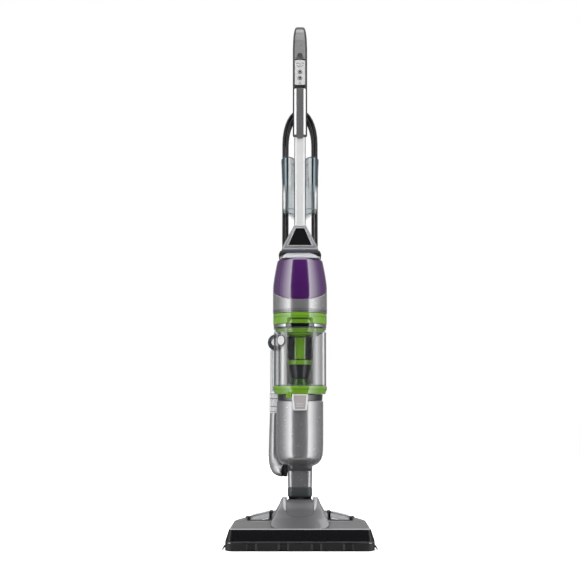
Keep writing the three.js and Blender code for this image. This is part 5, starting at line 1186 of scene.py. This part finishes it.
# A thin dark tube along the outline of a U inset on the hood's front: painted shade of the inset's edge;
# the inset itself is not modelled.
recess = []
for k in range(41):
    a = pi * k / 40
    x, z = -28.6 * cos(a), 74.5 - 9.5 * sin(a) ** 0.8
    recess.append((x, z))
recess = [(-29.2, 88), (-29.2, 81)] + recess + [(29.2, 81), (29.2, 88)]
hood_face = [(z, y) for y, z in HOOD_SIDE if y < 4]
recess = [(x, interpolate(hood_face, z) - 0.1, z) for x, z in recess]
tube("hood_recess_shade_line", recess, 0.55, DARK, "foot")
# Pale tubes on the front of the hood's cheeks: painted highlights where the cheeks' edges catch the
# softboxes.
for side, word in SIDES:
    rim = [(side * 33.8, 99.4), (side * 33.8, 94), (side * 33.4, 88), (side * 32.6, 82), (side * 31.4, 77)]
    rim = [(x, interpolate(hood_face, z) + 0.6, z) for x, z in rim]
    tube(f"pale_grey_and_cheek_highlight_{word}", rim, 4.0, PALE_GREY_AND_HIGHLIGHT, "foot", radii=[1, 1, 0.9, 0.7, 0.3])


def strip(name, low, high, inset_low, inset_high, thick, material, stands_for, notch=None, bevel=0.0):
    """A band round the foot's front, from one side's end to the other's."""
    outline = [p for p in resample(plan_outline(0), 900) if p[1] < FRONT_WRAP_Y]
    line = sorted(outline, key=lambda p: atan2(p[0], STRIP_CENTRE_Y - p[1]))[::2]
    rings = []
    for i, (x, y) in enumerate(line):
        before, after = Vector(line[max(0, i - 1)]), Vector(line[min(len(line) - 1, i + 1)])
        along = (after - before).normalized()
        inward = Vector((-along.y, along.x))
        dent = notch(x, y) if notch else 0.0
        ring = []
        for z, inset in ((low, inset_low + thick), (low, inset_low), (high, inset_high),
                (high, inset_high + thick)):
            reach = inset + (dent if inset in (inset_low, inset_high) else 0)
            lift = dent if z == low else 0
            ring.append((x + inward.x * reach, y + inward.y * reach, z + lift))
        rings.append(ring)
    return loft(name, rings, material, "foot", stands_for, bevel=bevel, sharp=38)


def notch_depth(x, y):
    if y > -104:
        return 0.0
    return sum(2.6 * smoothstep(10.5, 8.5, abs(x - c)) for c in (-101, -34.5, 34.5, 101))


strip("bumper_lip", 1.4, 16.9, 0.6, 0.1, 4, RUBBER, ["bumper_lip"], notch=notch_depth, bevel=0.5)
strip("trim_strip", 17.7, 20.1, 0.0, 0.3, 4, DARK, ["trim_strip"], bevel=0.3)
strip("front_panel", 20.7, 44.1, 0.4, 8.0, 3.4, PANEL_BLACK, ["front_panel"], bevel=0.5)
strip("panel_top_line", 44.3, 45.7, 7.9, 8.6, 3.0, PALE_GREY_AND_HIGHLIGHT, ())

for side, word in SIDES:
    body = word + "_pedal"
    fall = PEDAL_FALL
    rows = []
    for i in range(13):
        t = i / 12
        y = -32.6 + 28.2 * t
        half = 20.9 - (1.6 if i in (0, 12) else 0.5 if i in (1, 11) else 0)
        rise = 53.4 + 14.4 * t + 1.9 * sin(pi * t)
        row = []
        for k in range(17):
            u = -1 + k / 8
            x = side * PEDAL_X + u * half
            tilt = fall * side * (x - side * PEDAL_X)
            edge = 1.3 * (abs(u) ** 6)
            row.append((x, y, rise + tilt - edge))
        for k in range(17):
            u = 1 - k / 8
            x = side * PEDAL_X + u * half
            row.append((x, y, rise + fall * side * (x - side * PEDAL_X) - 3.4))
        rows.append(row)
    loft(body, rows, SMOKE, body, [body], bevel=0.5, sharp=30)
    across = (-1, -0.5, 0, 0.5, 1)
    lip = [(side * PEDAL_X + u * 18.5, -30.4, 55.2 + fall * u * 18.5 * side) for u in across]
    tube(f"{word}_pedal_lip", lip, 0.9, PEDAL_PALE_AND_HIGHLIGHT, body)
    # A white tube along the pedal's top back edge: painted highlight, the reflection of the top surface.
    top_highlight = [(side * PEDAL_X + u * 19, -6.8, 68.4 + fall * u * 18.5 * side) for u in across]
    tube(f"{word}_pedal_ridge", top_highlight, 2.4, PEDAL_PALE_AND_HIGHLIGHT, body)
    for i in range(4):
        y = -25 + i * 4.6
        z = 57.6 + i * 2.25
        grip = [(side * PEDAL_X + u * 13, y, z + fall * u * 13 * side) for u in (-1, 0, 1)]
        tube(f"{word}_pedal_grip_{i}", grip, 0.55, DARK, body)
    for tag, x, z in (("inner", 62.6, 69.4), ("outer", 114.4, 57.0)):
        knuckle = lathe(f"{word}_knuckle_{tag}", [(0, -3.6), (5.2, -3.6), (6.2, -2.8), (6.2, 2.8),
            (5.2, 3.6), (0, 3.6)], BLACK, "foot", sides=32)
        place_at(knuckle, side * x, -8, z, "Y", pi / 2)

WHEEL_X, WHEEL_Y, WHEEL_R = 52, 58, 14
BRISTLES = 130  # in each of two rows on each side
TREADS = 24
for side, word in SIDES:
    points, faces = [], []
    for i in range(BRISTLES):
        y = -93.4 + 34.8 * (i / (BRISTLES - 1))
        wobble = sin(i * 12.9898) * 0.5
        for shift in (0.0, 2.4):
            base = Vector((side * (156.6 - shift * 0.3), y, 9.4 - shift))
            tip = Vector((side * (163.2 + wobble - shift * 0.4), y + wobble * 0.9, 0.8 + abs(wobble)))
            first = len(points)
            for j in range(4):
                t = j / 3
                middle = base.lerp(tip, t) + Vector((side * 1.2 * sin(pi * t), 0, 1.2 * sin(pi * t)))
                r = 0.24 * (1 - 0.6 * t)
                for a in (0, 2.1, 4.2):
                    points.append(tuple(middle + Vector((0, cos(a), sin(a))) * r))
            for j in range(3):
                for k in range(3):
                    n = (k + 1) % 3
                    s = first + j * 3
                    faces.append((s + k, s + n, s + 3 + n, s + 3 + k))
    piece(f"{word}_corner_bristle", points, faces, RUBBER, "foot", [f"{word}_corner_bristle"])
    block(f"{word}_bristle_base", sorted((side * 153, side * 157.2)), (-94, -58), (6.4, 10.2), BLACK,
        "foot")
    body = word + "_wheel"
    tread = [(0, -7), (4, -7), (4.4, -6), (11, -6), (11.6, -7), (13.2, -7), (14, -6), (14, 6), (13.2, 7),
        (11.6, 7), (11, 6), (4.4, 6), (4, 7), (0, 7)]
    wheel = lathe(body, tread, RUBBER, body, [body], sides=64)
    place_at(wheel, side * WHEEL_X, WHEEL_Y, WHEEL_R, "Y", pi / 2)
    for i in range(TREADS):
        a = 2 * pi * i / TREADS
        y, z = WHEEL_Y + 13.75 * cos(a), WHEEL_R + 13.75 * sin(a)
        tube(f"{body}_tread_{i}", [(side * 47, y, z), (side * 57, y, z)], 0.35, DARK, body, smooth=False)

barrel = lathe("pivot_barrel", [(0, -27.4), (36.5, -27.4), (38, -25.8), (38, -16.6), (37.1, -16),
    (37.1, 16), (38, 16.6), (38, 25.8), (36.5, 27.4), (0, 27.4)], FOOT, "pivot", sides=128)
place_at(barrel, 0, 34, 58, "Y", pi / 2)
# A black band between the swivel collar and the hood: painted shade filling the gap there.
upright_loft("swivel_gap_shade", resample(rounded(-26.6, 26.6, 12.5, 55.5, 13, 8), 96),
    [(97, 0.93, 0.8), (101.9, 0.97, 0.92)], BLACK, "pivot", centre=PIVOT)
lathe("swivel_spigot", [(0, 90), (17, 90), (19.6, 97), (19.6, 101), (17.6, 101.8), (0, 101.8)], DARK,
    "pivot", at=PIVOT)

# ---------------------------------------------------------------- CAD pieces shown as they are
KEPT = {"sole_plate": BLACK, "suction_funnel": DARK, "wheel_axle": METAL, "boiler": METAL, "pump": DARK,
    "water_hose": HOSE_CLEAR_AND_HIGHLIGHT, "duct_seal": RUBBER, "inlet_seal": RUBBER, "suction_motor": METAL,
    "motor_rotor": METAL, "pre_motor_filter": FOAM}
for name, material in KEPT.items():
    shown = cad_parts[name]
    shown.data.materials.clear()
    shown.data.materials.append(material)

# ---------------------------------------------------------------- floor, backdrop and light
SURROUND_RADIUS, SURROUND_LOW, SURROUND_TOP = 2.8, -2.0, 3.0
floor_mesh = bpy.data.meshes.new("floor")
floor_mesh.from_pydata([(-4, -4, 0), (4, -4, 0), (4, 4, 0), (-4, 4, 0)], [], [(0, 1, 2, 3)])
floor = bpy.data.objects.new("floor", floor_mesh)
FLOOR = plastic("pale_floor", (0.94, 0.94, 0.94), 0.8, grain=0, mottle=0.01, mottle_mm=400, glow=0.82,
    specular=0)
floor_mesh.materials.append(FLOOR)
scene.collection.objects.link(floor)
floor.visible_diffuse = False
floor.visible_glossy = False
bounce_mesh = floor_mesh.copy()
bounce = bpy.data.objects.new("floor_bounce", bounce_mesh)
bounce_mesh.materials.clear()
bounce_mesh.materials.append(plastic("bounce_grey", (0.2, 0.2, 0.2), 0.9, grain=0, specular=0))
bounce.location = (0, 0, SURROUND_LOW)
bounce.visible_camera = False
scene.collection.objects.link(bounce)

world = bpy.data.worlds.new("studio")
world.use_nodes = True
world.node_tree.nodes["Background"].inputs[0].default_value = (1, 1, 1, 1)
world.node_tree.nodes["Background"].inputs[1].default_value = 1.0
scene.world = world


# How bright the surround is, by degrees round from the front: dark ahead, then a panel that fades.
SURROUND = [(0, 0.04), (39.6, 0.04), (40.6, 4.2), (46, 3.4), (60, 2.3), (82, 0.9), (100, 0.35)]
SURROUND += [(140, 0.15), (160, 0.35), (180, 0.35)]


def glow_material():
    m = bpy.data.materials.new("surround_glow")
    m.use_nodes = True
    tree = m.node_tree
    tree.nodes.clear()
    out = node(tree, "ShaderNodeOutputMaterial")
    shine = node(tree, "ShaderNodeEmission", Strength=1.0)
    shade = node(tree, "ShaderNodeAttribute", attribute_name="glow")
    tree.links.new(shade.outputs["Color"], shine.inputs["Color"])
    tree.links.new(shine.outputs[0], out.inputs[0])
    return m


def surround():
    sides = 240
    points, faces = [], []
    for z in (SURROUND_LOW, SURROUND_TOP):
        for k in range(sides):
            a = radians(360 * k / sides - 180)
            points.append((SURROUND_RADIUS * sin(a), -SURROUND_RADIUS * cos(a), z))
    for k in range(sides):
        n = (k + 1) % sides
        faces.append((k, n, sides + n, sides + k))
    mesh = bpy.data.meshes.new("surround")
    mesh.from_pydata(points, [], faces)
    glow = mesh.color_attributes.new("glow", "FLOAT_COLOR", "POINT")
    for k in range(2 * sides):
        around = abs(360 * (k % sides) / sides - 180)
        value = interpolate(SURROUND, around)
        glow.data[k].color = (value, value, value, 1)
    mesh.materials.append(glow_material())
    made = bpy.data.objects.new("surround", mesh)
    scene.collection.objects.link(made)
    made.visible_camera = False
    return made


surround()


def softbox(name, place, size, watts, aim):
    data = bpy.data.lights.new(name, "AREA")
    data.shape = "RECTANGLE"
    data.size, data.size_y = size
    data.energy = watts
    lamp = bpy.data.objects.new(name, data)
    lamp.location = place
    lamp.rotation_euler = (Vector(aim) - Vector(place)).to_track_quat("-Z", "Y").to_euler()
    lamp.visible_camera = False
    scene.collection.objects.link(lamp)
    return lamp


softbox("top_softbox", (0, 0, 2.95), (5.0, 5.0), 75, (0, 0, 0))
